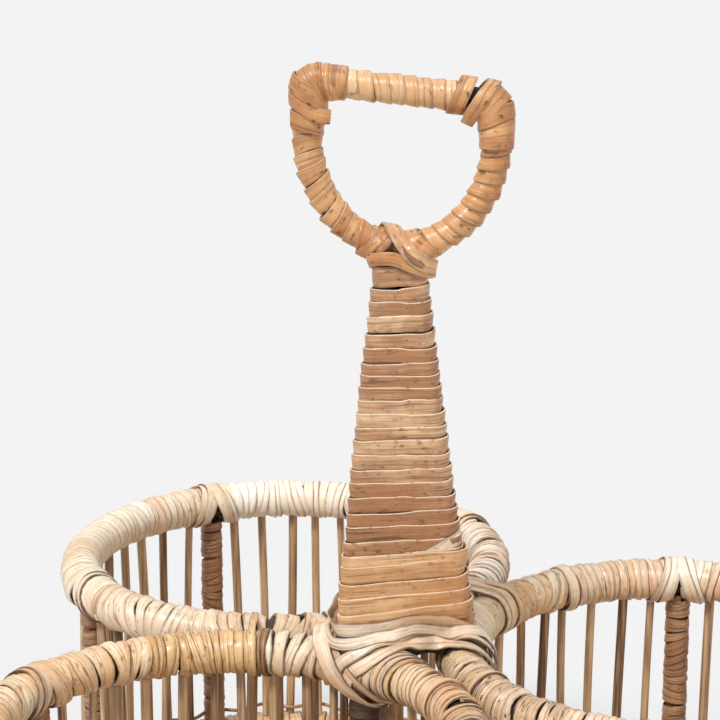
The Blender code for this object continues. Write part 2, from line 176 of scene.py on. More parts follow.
def build_winding_tree(strip_tree):
    """Winds a strip of cane round a path, turn after turn, each turn shingled on the last."""
    tree, given, out = new_tree("cane winding", "GeometryNodeTree", {
        "Path": ("NodeSocketGeometry", None), "Side": ("NodeSocketVector", (0, 0, 1)),
        "Core Radius": ("NodeSocketFloat", 6 * MM), "Turns": ("NodeSocketFloat", 10.0),
        "Points per Turn": ("NodeSocketInt", 16), "Shingle": ("NodeSocketFloat", 0.2),
        "Skew": ("NodeSocketFloat", 0.0), "Wander": ("NodeSocketFloat", 0.0),
        "Lift": ("NodeSocketFloat", 0.0), "Width": ("NodeSocketFloat", 4 * MM),
        "Thickness": ("NodeSocketFloat", 0.7 * MM), "Unevenness": ("NodeSocketFloat", 0.1),
        "Seed": ("NodeSocketFloat", 0.0), "Cane": ("NodeSocketMaterial", None),
    }, {"Winding": "NodeSocketGeometry"})
    path = add(tree, "GeometryNodeMeshToCurve", {"Mesh": given["Path"]}).outputs[0]
    length = add(tree, "GeometryNodeCurveLength", {"Curve": path}).outputs[0]
    points = number(tree, "MULTIPLY", given["Turns"], given["Points per Turn"])
    count = add(tree, "FunctionNodeFloatToInt", {0: points}).outputs[0]
    line = add(tree, "GeometryNodeResampleCurve", {
        "Curve": add(tree, "GeometryNodeCurvePrimitiveLine").outputs[0], "Count": count,
    }, mode="COUNT")
    share = add(tree, "GeometryNodeSplineParameter").outputs["Factor"]
    turn = number(tree, "MULTIPLY", share, given["Turns"])
    angle = number(tree, "MULTIPLY", turn, tau)
    start = number(tree, "MULTIPLY", given["Seed"], 7.31)
    drift = number(tree, "MULTIPLY", wavering(tree, turn, 0.9, start), given["Wander"])
    slant = number(tree, "MULTIPLY", wavering(tree, turn, 0.17, start), given["Skew"])
    slant = number(tree, "MULTIPLY", slant, number(tree, "COSINE", angle))
    travel = number(tree, "MULTIPLY_ADD", share, length, number(tree, "ADD", drift, slant))
    core = add(tree, "GeometryNodeSampleCurve", {"Curves": path, "Length": travel}, mode="LENGTH")
    ahead = core.outputs["Tangent"]
    slip = vector(tree, "SCALE", ahead, vector(tree, "DOT_PRODUCT", given["Side"], ahead))
    first = vector(tree, "NORMALIZE", vector(tree, "SUBTRACT", given["Side"], slip))
    second = vector(tree, "CROSS_PRODUCT", ahead, first)
    outward = vector(
        tree, "ADD", vector(tree, "SCALE", first, number(tree, "COSINE", angle)),
        vector(tree, "SCALE", second, number(tree, "SINE", angle)),
    )
    lump = number(tree, "MULTIPLY", wavering(tree, turn, 1.7, start), given["Lift"])
    radius = number(tree, "ADD", given["Core Radius"], lump)
    place = vector(tree, "ADD", core.outputs["Position"], vector(tree, "SCALE", outward, radius))
    lean = number(tree, "MULTIPLY_ADD", wavering(tree, turn, 0.6, start), 0.35, 1.0)
    lean = number(tree, "MULTIPLY", lean, given["Shingle"])
    facing = vector(tree, "ADD", outward, vector(tree, "SCALE", ahead, lean))
    around = number(tree, "MULTIPLY", given["Core Radius"], tau)
    for label, kind, value in (
        ("facing", "FLOAT_VECTOR", facing), ("along", "FLOAT", number(tree, "MULTIPLY", turn, around)),
    ):
        line = add(tree, "GeometryNodeStoreNamedAttribute", {
            "Geometry": line.outputs[0], "Name": label, "Value": value,
        }, data_type=kind, domain="POINT")
    line = add(tree, "GeometryNodeSetPosition", {"Geometry": line.outputs[0], "Position": place})
    strip = add(tree, "GeometryNodeGroup", node_tree=strip_tree)
    tree.links.new(line.outputs[0], strip.inputs["Line"])
    for label in ("Width", "Thickness", "Unevenness", "Seed", "Cane"):
        tree.links.new(given[label], strip.inputs[label])
    real = add(tree, "GeometryNodeRealizeInstances", {"Geometry": strip.outputs[0]})
    skin = add(tree, "GeometryNodeSetMaterial", {"Geometry": real.outputs[0], "Material": given["Cane"]})
    tree.links.new(skin.outputs[0], out["Winding"])
    return tree


# The pale of a cut edge, partly a painted highlight on the proud edge
CUT_EDGE_AND_GLINT = seen(250, 230, 202)
# Near-black painted shade for the gaps between turns
GAP_SHADE = seen(48, 30, 20)


def build_fibre_group():
    """The skin of split cane: fine fibres along the strip, slow changes of tone, painted shade that darkens its edges
    where the turns meet, and pale edges that are partly cut edge and partly painted highlight.
    """
    tree, given, out = new_tree("cane fibres", "ShaderNodeTree", {
        "Pale": ("NodeSocketColor", seen(240, 217, 180)), "Honey": ("NodeSocketColor", seen(222, 181, 125)),
        "Brown": ("NodeSocketColor", seen(150, 104, 62)), "Ripeness": ("NodeSocketFloat", 0.4),
        "Streaks": ("NodeSocketFloat", 0.5), "Spots": ("NodeSocketFloat", 0.3),
        "Lip": ("NodeSocketFloat", 0.0),
    }, {"Color": "NodeSocketColor", "Roughness": "NodeSocketFloat", "Height": "NodeSocketFloat"})

    def attribute(label):
        return add(tree, "ShaderNodeAttribute", attribute_name=label).outputs["Fac"]

    def spread(value, low, high, first=0.0, last=1.0):
        wired = {"Value": value, "From Min": low, "From Max": high, "To Min": first, "To Max": last}
        return add(tree, "ShaderNodeMapRange", wired).outputs[0]

    def mixed(share, first, second):
        return add(tree, "ShaderNodeMix", {0: share, 6: first, 7: second}, data_type="RGBA").outputs[2]
    across = attribute("across")
    strip = number(tree, "MULTIPLY", attribute("strip"), 3.7)
    run = number(tree, "MULTIPLY", attribute("along"), 1 / MM)

    def stretched(along_rate, across_rate, detail, low, high):
        place = add(tree, "ShaderNodeCombineXYZ", {
            0: number(tree, "MULTIPLY", run, along_rate),
            1: number(tree, "MULTIPLY_ADD", across, across_rate, strip),
            2: strip,
        })
        waves = add(tree, "ShaderNodeTexNoise", {"Vector": place.outputs[0], "Scale": 1.0, "Detail": detail})
        return spread(waves.outputs[0], low, high)
    place = add(tree, "ShaderNodeTexCoord").outputs["Object"]
    patches = add(tree, "ShaderNodeTexNoise", {"Vector": place, "Scale": 38.0, "Detail": 3.0}).outputs[0]
    blotches = add(tree, "ShaderNodeTexNoise", {"Vector": place, "Scale": 360.0, "Detail": 4.0}).outputs[0]
    tone = stretched(0.045, 0.25, 3.0, 0.36, 0.64)
    fibres = stretched(0.04, 2.3, 4.0, 0.38, 0.62)
    fine = stretched(0.08, 6.5, 3.0, 0.36, 0.64)
    splits = stretched(0.03, 2.9, 2.0, 0.6, 0.66)
    # A slow change along the strip in how strong its painted edge shade is
    shade_breakup = stretched(0.09, 0.5, 2.0, 0.4, 0.62)
    spots = stretched(0.35, 1.6, 3.0, 0.6, 0.7)
    ripe = number(tree, "MULTIPLY_ADD", tone, 0.75, spread(patches, 0.38, 0.62, -0.3, 0.5))
    ripe = number(tree, "ADD", ripe, attribute("tint"))
    ripe = number(tree, "ADD", ripe, given["Ripeness"], use_clamp=True)
    colour = mixed(ripe, given["Pale"], given["Honey"])
    weathered = number(tree, "MULTIPLY", spread(blotches, 0.5, 0.75), given["Streaks"])
    colour = mixed(number(tree, "MULTIPLY", weathered, 0.28), colour, given["Brown"])
    streak = number(tree, "MULTIPLY_ADD", fine, 0.45, number(tree, "MULTIPLY", fibres, 0.55))
    streak = number(tree, "MULTIPLY", number(tree, "MULTIPLY", streak, given["Streaks"]), 0.85)
    colour = mixed(streak, colour, mixed(0.45, given["Honey"], given["Brown"]))
    split = number(tree, "MULTIPLY", number(tree, "MULTIPLY", splits, given["Streaks"]), 0.6)
    colour = mixed(split, colour, given["Brown"])
    # Painted shade: the strip darkens to brown towards both edges, where one turn meets the next.
    edge = number(tree, "POWER", number(tree, "ABSOLUTE", across), 5.0)
    edge = number(tree, "MULTIPLY", edge, number(tree, "MULTIPLY_ADD", shade_breakup, 0.7, 0.3))
    edge = number(tree, "MULTIPLY", edge, number(tree, "SUBTRACT", 0.95, given["Lip"]))
    colour = mixed(edge, colour, given["Brown"])
    # Painted shade: a near-black line just inside both edges of the strip stands in for the shadow in the gaps between
    # turns.
    gap_shading = number(tree, "MULTIPLY", spread(number(tree, "ABSOLUTE", across), 0.84, 0.97), 0.85)
    gap_shading = number(tree, "MULTIPLY", gap_shading, number(tree, "MULTIPLY_ADD", shade_breakup, 0.7, 0.3))
    gap_shading = number(tree, "MULTIPLY", gap_shading, number(tree, "SUBTRACT", 1.0, given["Lip"]))
    gap_shading = number(tree, "MULTIPLY", gap_shading, number(tree, "MULTIPLY_ADD", given["Streaks"], 1.2, -0.1), use_clamp=True)
    colour = mixed(gap_shading, colour, GAP_SHADE)
    # Pale edges: partly the pale cut edge of the cane, partly a painted highlight where the proud edge catches the
    # light.
    lip = number(tree, "MULTIPLY", spread(number(tree, "ABSOLUTE", across), 0.9, 0.98), given["Lip"])
    colour = mixed(lip, colour, CUT_EDGE_AND_GLINT)
    speck = number(tree, "MULTIPLY", spots, given["Spots"])
    colour = mixed(speck, colour, given["Brown"])
    tree.links.new(colour, out["Color"])
    rough = number(tree, "MULTIPLY_ADD", fibres, 0.24, 0.24)
    tree.links.new(number(tree, "ADD", rough, number(tree, "MULTIPLY", edge, 0.2)), out["Roughness"])
    height = number(tree, "MULTIPLY_ADD", fine, 0.4, number(tree, "MULTIPLY", fibres, 0.6))
    height = number(tree, "ADD", height, splits)
    tree.links.new(height, out["Height"])
    return tree


def build_strand_tree():
    """A round strand along a line."""
    tree, given, out = new_tree("round strand", "GeometryNodeTree", {
        "Line": ("NodeSocketGeometry", None), "Radius": ("NodeSocketFloat", MM),
        "Sides": ("NodeSocketInt", 8), "Stuff": ("NodeSocketMaterial", None),
    }, {"Strand": "NodeSocketGeometry"})
    path = add(tree, "GeometryNodeMeshToCurve", {"Mesh": given["Line"]}).outputs[0]
    around = add(tree, "GeometryNodeCurvePrimitiveCircle", {
        "Resolution": given["Sides"], "Radius": given["Radius"],
    }).outputs[0]
    sweep = add(tree, "GeometryNodeCurveToMesh", {
        "Curve": path, "Profile Curve": around, "Fill Caps": True,
    }).outputs[0]
    smooth = add(tree, "GeometryNodeSetShadeSmooth", {"Geometry": sweep}).outputs[0]
    real = add(tree, "GeometryNodeRealizeInstances", {"Geometry": smooth}).outputs[0]
    skin = add(tree, "GeometryNodeSetMaterial", {"Geometry": real, "Material": given["Stuff"]})
    tree.links.new(skin.outputs[0], out["Strand"])
    return tree


strip_tree = build_strip_tree()
strand_tree = build_strand_tree()
winding_tree = build_winding_tree(strip_tree)
fibre_group = build_fibre_group()


def cane(name, pale, honey, brown, ripeness=0.0, streaks=0.5, spots=0.3, relief=0.15, lip=0.0):
    """Split cane, semi-gloss on its skin side. The colours run from its palest to its darkest."""
    material = bpy.data.materials.new(name)
    material.use_nodes = True
    tree = material.node_tree
    shader = tree.nodes["Principled BSDF"]
    fibres = add(tree, "ShaderNodeGroup", node_tree=fibre_group)
    for label, value in (
        ("Pale", pale), ("Honey", honey), ("Brown", brown),
        ("Ripeness", ripeness), ("Streaks", streaks), ("Spots", spots), ("Lip", lip),
    ):
        fibres.inputs[label].default_value = value
    bump = add(tree, "ShaderNodeBump", {
        "Height": fibres.outputs["Height"], "Strength": relief, "Distance": 0.3 * MM,
    })
    tree.links.new(fibres.outputs["Color"], shader.inputs["Base Color"])
    tree.links.new(fibres.outputs["Roughness"], shader.inputs["Roughness"])
    tree.links.new(bump.outputs[0], shader.inputs["Normal"])
    shader.inputs["Specular IOR Level"].default_value = 0.6
    return material


def wood(name, light, dark, scale, stretch, roughness=0.6, relief=0.15):
    """Plain wood with its grain along one way. scale is waves a metre, stretch how they lengthen."""
    material = bpy.data.materials.new(name)
    material.use_nodes = True
    tree = material.node_tree
    shader = tree.nodes["Principled BSDF"]
    place = add(tree, "ShaderNodeTexCoord").outputs["Object"]
    place = add(tree, "ShaderNodeMapping", {"Vector": place, "Scale": stretch}).outputs[0]
    grain = add(tree, "ShaderNodeTexNoise", {"Vector": place, "Scale": scale, "Detail": 6.0}).outputs[0]
    broad = add(tree, "ShaderNodeTexNoise", {"Vector": place, "Scale": scale / 7, "Detail": 2.0}).outputs[0]
    mixed = number(tree, "MULTIPLY_ADD", grain, 0.6, number(tree, "MULTIPLY", broad, 0.4))
    tones = add(tree, "ShaderNodeValToRGB", {0: mixed})
    tones.color_ramp.elements[0].position = 0.36
    tones.color_ramp.elements[0].color = dark
    tones.color_ramp.elements[1].position = 0.62
    tones.color_ramp.elements[1].color = light
    bump = add(tree, "ShaderNodeBump", {"Height": grain, "Strength": relief, "Distance": 0.3 * MM})
    tree.links.new(tones.outputs[0], shader.inputs["Base Color"])
    tree.links.new(bump.outputs[0], shader.inputs["Normal"])
    tree.links.new(number(tree, "MULTIPLY_ADD", grain, 0.2, roughness - 0.1), shader.inputs["Roughness"])
    return material


def line(name, points, facings=None, closed=False, tints=None):
    """A line of points for a tree to follow, with the way that a strip on it faces and its tone."""
    mesh = bpy.data.meshes.new(name)
    count = len(points)
    edges = [(start, (start + 1) % count) for start in range(count if closed else count - 1)]
    mesh.from_pydata(points, edges, [])
    if facings:
        travel = [0]
        for before, after in zip(points, points[1:]):
            travel.append(travel[-1] + (after - before).length)
        for label, kind in (("facing", "FLOAT_VECTOR"), ("along", "FLOAT")):
            mesh.attributes.new(label, kind, "POINT")
        mesh.attributes["facing"].data.foreach_set("vector", [part for way in facings for part in way])
        mesh.attributes["along"].data.foreach_set("value", travel)
    if tints:
        mesh.attributes.new("tint", "FLOAT", "POINT")
        mesh.attributes["tint"].data.foreach_set("value", tints)
    item = bpy.data.objects.new(name, mesh)
    bpy.context.scene.collection.objects.link(item)
    return item


def grown(item, tree, **inputs):
    """Runs a tree on an object with these inputs, and keeps the result as a plain mesh."""
    modifier = item.modifiers.new(tree.name, "NODES")
    modifier.node_group = tree
    for socket in tree.interface.items_tree:
        label = socket.name.lower().replace(" ", "_")
        if socket.in_out == "INPUT" and label in inputs:
            modifier[socket.identifier] = inputs[label]
    graph = bpy.context.evaluated_depsgraph_get()
    mesh = bpy.data.meshes.new_from_object(item.evaluated_get(graph), depsgraph=graph)
    item.modifiers.remove(modifier)
    mesh.name = item.name
    item.data = mesh
    return item


def dressed(piece, slot, *nodes):
    """Puts a finished piece on the basket, in place of the CAD nodes that it stands for."""
    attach(piece, "root")
    if nodes:
        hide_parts(*nodes)
    return piece


def measured_ring(ring):
    """The middle of a ring's floor plan, its radius and the half thickness of its wound pole."""
    low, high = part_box(f"base_hoop_{ring}")
    half = (high.z - low.z) / 2
    return Vector(((low.x + high.x) / 2, (low.y + high.y) / 2, 0)), (high.x - low.x) / 2 - half, half


PLACES = {ring: measured_ring(ring) for ring in RINGS}
STEM = Vector(((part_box("handle_bow")[0].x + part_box("handle_bow")[1].x) / 2, 0, 0))


def ring_way(ring, angle):
    """The direction at an angle round a ring, in degrees, counted from where it faces the stem."""
    middle, _, _ = PLACES[ring]
    inward = atan2(STEM.y - middle.y, STEM.x - middle.x)
    return inward + radians(angle)


def ring_path(name, ring, height, first, last, step=3):
    """A stretch of a ring's middle line between two angles."""
    middle, radius, _ = PLACES[ring]
    count = max(int(abs(last - first) / step), 2)
    ways = [ring_way(ring, first + (last - first) * part / count) for part in range(count + 1)]
    points = [middle + Vector((radius * cos(way), radius * sin(way), height)) for way in ways]
    return line(name, points), radius * radians(abs(last - first))


def ring_pole(name, ring, height, node=None):
    """The pole inside a ring's winding, near-black as painted shade for the gaps between turns."""
    middle, radius, half = PLACES[ring]
    ways = [tau * part / 96 for part in range(96)]
    points = [middle + Vector((radius * cos(way), radius * sin(way), height)) for way in ways]
    item = line(name, points, closed=True)
    grown(item, strand_tree, radius=half - 2.1 * MM, sides=20, stuff=dark_pole)
    return dressed(item, "rattan_pole", *([node] if node else []))


# Near-black wood for the poles and rods under the windings: painted shade, so that the gaps between turns read as
# shadow.
dark_pole = wood("dark_pole", seen(58, 40, 28), seen(30, 20, 14), 260, (1.0, 1.0, 1.0), 0.6)
CANE_WIDTH = 3.9 * MM
CANE_THICKNESS = 1.0 * MM
RING_PITCH = 2.9 * MM
base_cane = cane("base_cane", seen(244, 216, 176), seen(210, 168, 118), seen(110, 72, 44), 0.0, 0.6, 0.4)
for ring in RINGS:
    _, _, half = PLACES[ring]
    path, length = ring_path(f"base_winding_{ring}", ring, half, -180, 182)
    grown(
        path, winding_tree, side=(0, 0, 1), core_radius=half - 1.05 * MM, turns=length / RING_PITCH,
        points_per_turn=14, shingle=0.24, skew=1.6 * MM, wander=0.6 * MM, lift=0.12 * MM,
        width=CANE_WIDTH, thickness=CANE_THICKNESS, unevenness=0.1, seed=11.0 + ring, cane=base_cane,
    )
    dressed(path, "base_cane", f"base_hoop_{ring}")
    ring_pole(f"base_pole_{ring}", ring, half)

# ---------------------------------------------------------------------------------------------
# Floors. A plain thin board lies inside each base ring, held at its rim by the ring's winding.
# ---------------------------------------------------------------------------------------------
BOARD_SIDES = 96
BOARD_EDGE = 0.6 * MM


board_wood = wood("board_wood", seen(214, 182, 138), seen(172, 134, 92), 90, (0.12, 1.0, 1.0))
for ring in RINGS:
    middle, radius, half = PLACES[ring]
    low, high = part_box(f"floor_board_{ring}")
    made = bmesh.new()
    bmesh.ops.create_cone(
        made, cap_ends=True, segments=BOARD_SIDES, radius1=radius - half + 0.4 * MM,
        radius2=radius - half + 0.4 * MM, depth=high.z - low.z,
        matrix=Matrix.Translation(middle + Vector((0, 0, (low.z + high.z) / 2))),
    )
    rims = [edge for edge in made.edges if len(edge.link_faces) == 2
            and abs(edge.link_faces[0].normal.z - edge.link_faces[1].normal.z) > 0.5]
    bmesh.ops.bevel(made, geom=rims, offset=BOARD_EDGE, segments=2, affect="EDGES")
    mesh = bpy.data.meshes.new(f"floor_{ring}")
    made.to_mesh(mesh)
    made.free()
    mesh.materials.append(board_wood)
    board = bpy.data.objects.new(mesh.name, mesh)
    bpy.context.scene.collection.objects.link(board)
    dressed(board, "floor_board", f"floor_board_{ring}")

# ---------------------------------------------------------------------------------------------
# Wall posts. Three rattan sticks stand on the quarters of each ring, and the foot of a stem rod
# on the fourth. Each is wound from ring to ring with brown cane that still has its bark.
# ---------------------------------------------------------------------------------------------
BAYS = 4
POST_PITCH = 2.7 * MM
pole_wood = wood("pole_wood", seen(150, 110, 70), seen(92, 62, 38), 260, (1.0, 1.0, 0.06), 0.55)
bark_cane = cane(
    "bark_cane", seen(214, 168, 124), seen(172, 122, 84), seen(76, 48, 32), 0.1, 1.2, 0.5, relief=0.4,
)
dark_bark = cane(
    "dark_bark", seen(150, 112, 80), seen(92, 66, 48), seen(36, 25, 19), 0.4, 1.0, 0.8, relief=0.3,
)
STAINED = (3, 3)


def post_place(ring, bay):
    """The middle of a post and the radius of its stick, from its winding's CAD sleeve."""
    low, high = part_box(f"post_binding_{ring}_{bay}")
    return (low + high) / 2, low.z, high.z, (high.x - low.x) / 2


for ring in RINGS:
    for bay in range(1, BAYS + 1):
        middle, foot, top, reach = post_place(ring, bay)
        heights = [foot - 1.5 * MM + (top - foot + 3 * MM) * part / 8 for part in range(9)]
        path = line(f"post_winding_{ring}_{bay}", [Vector((middle.x, middle.y, height)) for height in heights])
        grown(
            path, winding_tree, side=(1, 0, 0), core_radius=reach - 0.35 * MM,
            turns=(top - foot) / POST_PITCH, points_per_turn=16, shingle=0.12, skew=1.4 * MM,
            wander=0.6 * MM, lift=0.14 * MM, width=3.4 * MM, thickness=0.6 * MM, unevenness=0.14,
            seed=31.0 + ring * 4 + bay, cane=dark_bark if (ring, bay) == STAINED else bark_cane,
        )
        dressed(path, "brown_cane", f"post_binding_{ring}_{bay}")
        if bay != 3:
            post = bpy.data.objects[f"post_{ring}_{bay}"]
            post.data.materials.clear()
            post.data.materials.append(pole_wood)

# ---------------------------------------------------------------------------------------------
# Spindles. Ten round reeds in each bay, set into both rings. Split by hand, they differ in
# thickness and tone, and none is quite straight. One strand is woven through them at their feet.
# ---------------------------------------------------------------------------------------------
SPINDLES = 10
REED_RADIUS = 1.55 * MM
STRAND_RADIUS = 0.75 * MM


def build_spindle_tree():
    """Stands a reed on each point, each a little thicker, more tilted or more bowed than the next."""
    tree, given, out = new_tree("spindle reeds", "GeometryNodeTree", {
        "Feet": ("NodeSocketGeometry", None), "Height": ("NodeSocketFloat", 83 * MM),
        "Radius": ("NodeSocketFloat", REED_RADIUS), "Tilt": ("NodeSocketFloat", 1.2 * MM),
        "Bow": ("NodeSocketFloat", 0.8 * MM), "Seed": ("NodeSocketInt", 0),
        "Reed": ("NodeSocketMaterial", None),
    }, {"Reeds": "NodeSocketGeometry"})
    feet = add(tree, "GeometryNodeMeshToPoints", {"Mesh": given["Feet"]}).outputs[0]
    feet = add(tree, "GeometryNodeStoreNamedAttribute", {
        "Geometry": feet, "Name": "reed", "Value": add(tree, "GeometryNodeInputIndex").outputs[0],
    }, data_type="INT", domain="POINT").outputs[0]
    top = add(tree, "ShaderNodeCombineXYZ", {2: given["Height"]}).outputs[0]
    stick = add(tree, "GeometryNodeCurvePrimitiveLine", {"End": top}).outputs[0]
    stick = add(tree, "GeometryNodeResampleCurve", {"Curve": stick, "Count": 9}, mode="COUNT").outputs[0]
    rise = add(tree, "GeometryNodeSplineParameter").outputs["Factor"]
    stick = add(tree, "GeometryNodeStoreNamedAttribute", {
        "Geometry": stick, "Name": "rise", "Value": rise,
    }, data_type="FLOAT", domain="POINT").outputs[0]
    reeds = add(tree, "GeometryNodeInstanceOnPoints", {"Points": feet, "Instance": stick}).outputs[0]
    reeds = add(tree, "GeometryNodeRealizeInstances", {"Geometry": reeds}).outputs[0]
    which = named(tree, "INT", "reed")
    rise = named(tree, "FLOAT", "rise")

    def chance(offset, kind, low, high):
        seed = number(tree, "ADD", given["Seed"], offset)
        made = add(tree, "FunctionNodeRandomValue", data_type=kind)
        wired = {"Min": low, "Max": high, "ID": which, "Seed": seed}
        for slot in made.inputs:
            value = wired.get(slot.name)
            if not slot.enabled or value is None:
                continue
            if isinstance(value, bpy.types.NodeSocket):
                tree.links.new(value, slot)
            else:
                slot.default_value = value
        return next(slot for slot in made.outputs if slot.enabled)
    tilt = vector(tree, "SCALE", chance(1, "FLOAT_VECTOR", (-1, -1, 0), (1, 1, 0)), given["Tilt"])
    tilt = vector(tree, "SCALE", tilt, number(tree, "SUBTRACT", rise, 0.35))
    bow = vector(tree, "SCALE", chance(2, "FLOAT_VECTOR", (-1, -1, 0), (1, 1, 0)), given["Bow"])
    bow = vector(tree, "SCALE", bow, number(tree, "SINE", number(tree, "MULTIPLY", rise, pi)))
    reeds = add(tree, "GeometryNodeSetPosition", {
        "Geometry": reeds, "Offset": vector(tree, "ADD", tilt, bow),
    }).outputs[0]
    size = number(tree, "MULTIPLY", chance(3, "FLOAT", 0.86, 1.2), given["Radius"])
    around = add(tree, "GeometryNodeCurvePrimitiveCircle", {"Resolution": 10, "Radius": 1.0}).outputs[0]
    sweep = add(tree, "GeometryNodeCurveToMesh", {
        "Curve": reeds, "Profile Curve": around, "Scale": size, "Fill Caps": True,
    }).outputs[0]
    smooth = add(tree, "GeometryNodeSetShadeSmooth", {"Geometry": sweep}).outputs[0]
    real = add(tree, "GeometryNodeRealizeInstances", {"Geometry": smooth}).outputs[0]
    skin = add(tree, "GeometryNodeSetMaterial", {"Geometry": real, "Material": given["Reed"]})
    tree.links.new(skin.outputs[0], out["Reeds"])
    return tree


def reed_finish(name):
    """Round reed: each one browner or paler than the next, with long fine fibres and dark marks."""
    material = bpy.data.materials.new(name)
    material.use_nodes = True
    tree = material.node_tree
    shader = tree.nodes["Principled BSDF"]
    place = add(tree, "ShaderNodeTexCoord").outputs["Object"]
    stretched = add(tree, "ShaderNodeMapping", {"Vector": place, "Scale": (1, 1, 0.03)}).outputs[0]
    fibres = add(tree, "ShaderNodeTexNoise", {"Vector": stretched, "Scale": 950.0, "Detail": 3.0}).outputs[0]
    long = add(tree, "ShaderNodeMapping", {"Vector": place, "Scale": (1, 1, 0.25)}).outputs[0]
    marks = add(tree, "ShaderNodeTexNoise", {"Vector": long, "Scale": 120.0, "Detail": 3.0}).outputs[0]
    which = add(tree, "ShaderNodeAttribute", attribute_name="reed").outputs["Fac"]
    chance = add(tree, "ShaderNodeTexWhiteNoise", {"W": which}, noise_dimensions="1D").outputs["Value"]
    tone = number(tree, "MULTIPLY_ADD", marks, 0.9, number(tree, "MULTIPLY", chance, 0.5))
    tone = number(tree, "MULTIPLY_ADD", fibres, 1.5, tone)
    tones = add(tree, "ShaderNodeValToRGB", {0: number(tree, "SUBTRACT", tone, 1.0)})
    ramp = tones.color_ramp
    ramp.elements[0].position = 0.05
    ramp.elements[0].color = seen(104, 78, 56)
    ramp.elements[1].position = 0.85
    ramp.elements[1].color = seen(222, 188, 146)
    ramp.elements.new(0.42).color = seen(172, 138, 104)
    bump = add(tree, "ShaderNodeBump", {"Height": fibres, "Strength": 0.25, "Distance": 0.2 * MM})
    tree.links.new(tones.outputs[0], shader.inputs["Base Color"])
    tree.links.new(bump.outputs[0], shader.inputs["Normal"])
    tree.links.new(number(tree, "MULTIPLY_ADD", fibres, 0.2, 0.42), shader.inputs["Roughness"])
    return material


spindle_tree = build_spindle_tree()
reed = reed_finish("reed")
for ring in RINGS:
    middle, radius, half = PLACES[ring]
    step = 360 / BAYS / (SPINDLES + 1)
    for bay in range(1, BAYS + 1):
        low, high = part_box(f"spindle_bay_{ring}_{bay}")
        first = 180 + 360 / BAYS * (bay - 1)
        ways = [ring_way(ring, first + step * (place + 1)) for place in range(SPINDLES)]
        feet = [middle + Vector((radius * cos(way), radius * sin(way), low.z - MM)) for way in ways]
        item = line(f"spindles_{ring}_{bay}", feet)
        grown(
            item, spindle_tree, height=high.z - low.z + 2 * MM, radius=REED_RADIUS, tilt=2.4 * MM,
            bow=0.7 * MM, seed=ring * 10 + bay, reed=reed,
        )
        dressed(item, "spindle_reed", f"spindle_bay_{ring}_{bay}")
    low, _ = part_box(f"spindle_bay_{ring}_1")
    strand = []
    uprights = BAYS * (SPINDLES + 1)
    for place in range(uprights * 6):
        upright, between = divmod(place, 6)
        swing = cos(pi * place / 6)
        bulge = 4.4 * MM if upright % (SPINDLES + 1) == 0 and between == 0 else REED_RADIUS
        way = ring_way(ring, 180 + step * place / 6)
        reach = radius + swing * (bulge + STRAND_RADIUS)
        strand.append(middle + Vector((reach * cos(way), reach * sin(way), low.z + 2.3 * MM)))
    item = line(f"woven_strand_{ring}", strand, closed=True)
    grown(item, strand_tree, radius=STRAND_RADIUS, sides=8, stuff=bark_cane)
    dressed(item, "brown_cane")

# ---------------------------------------------------------------------------------------------
# Rim rings. The same bent poles, wound with paler cane in several lengths. The turns are less
# even by hand: some lean, some part and show the dark between them.
# ---------------------------------------------------------------------------------------------
RIM_Z = (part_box("rim_hoop_1")[0].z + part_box("rim_hoop_1")[1].z) / 2
for ring in RINGS:
    ring_pole(f"rim_pole_{ring}", ring, RIM_Z, f"rim_hoop_{ring}")
# A paler copy of the rim cane with softer edge lines, for the middle ring's right and rear: painted light where the
# lamps leave it in shade.
rim_white = cane("rim_white", seen(255, 251, 240), seen(253, 234, 210), seen(178, 134, 98), -0.1, 0.35, 0.3)
rim_pale = cane("rim_pale", seen(255, 246, 226), seen(247, 217, 180), seen(112, 74, 46), 0.0, 0.65, 0.3)
rim_cream = cane("rim_cream", seen(254, 236, 208), seen(234, 190, 144), seen(92, 56, 34), 0.0, 0.75, 0.4)
rim_tan = cane("rim_tan", seen(255, 246, 222), seen(240, 198, 156), seen(104, 66, 40), 0.0, 0.8, 0.4)
rim_rough = cane("rim_rough", seen(255, 234, 202), seen(224, 184, 140), seen(72, 46, 30), 0.0, 1.0, 1.4, 0.5)
rim_amber = cane("rim_amber", seen(255, 240, 208), seen(242, 194, 142), seen(90, 54, 32), 0.0, 0.75, 0.6)
rim_honey = cane("rim_honey", seen(252, 216, 160), seen(216, 162, 104), seen(84, 52, 32), 0.0, 0.95, 1.0)
rim_striped = cane("rim_striped", seen(255, 230, 190), seen(243, 194, 146), seen(112, 70, 44), 0.0, 0.55, 0.5)

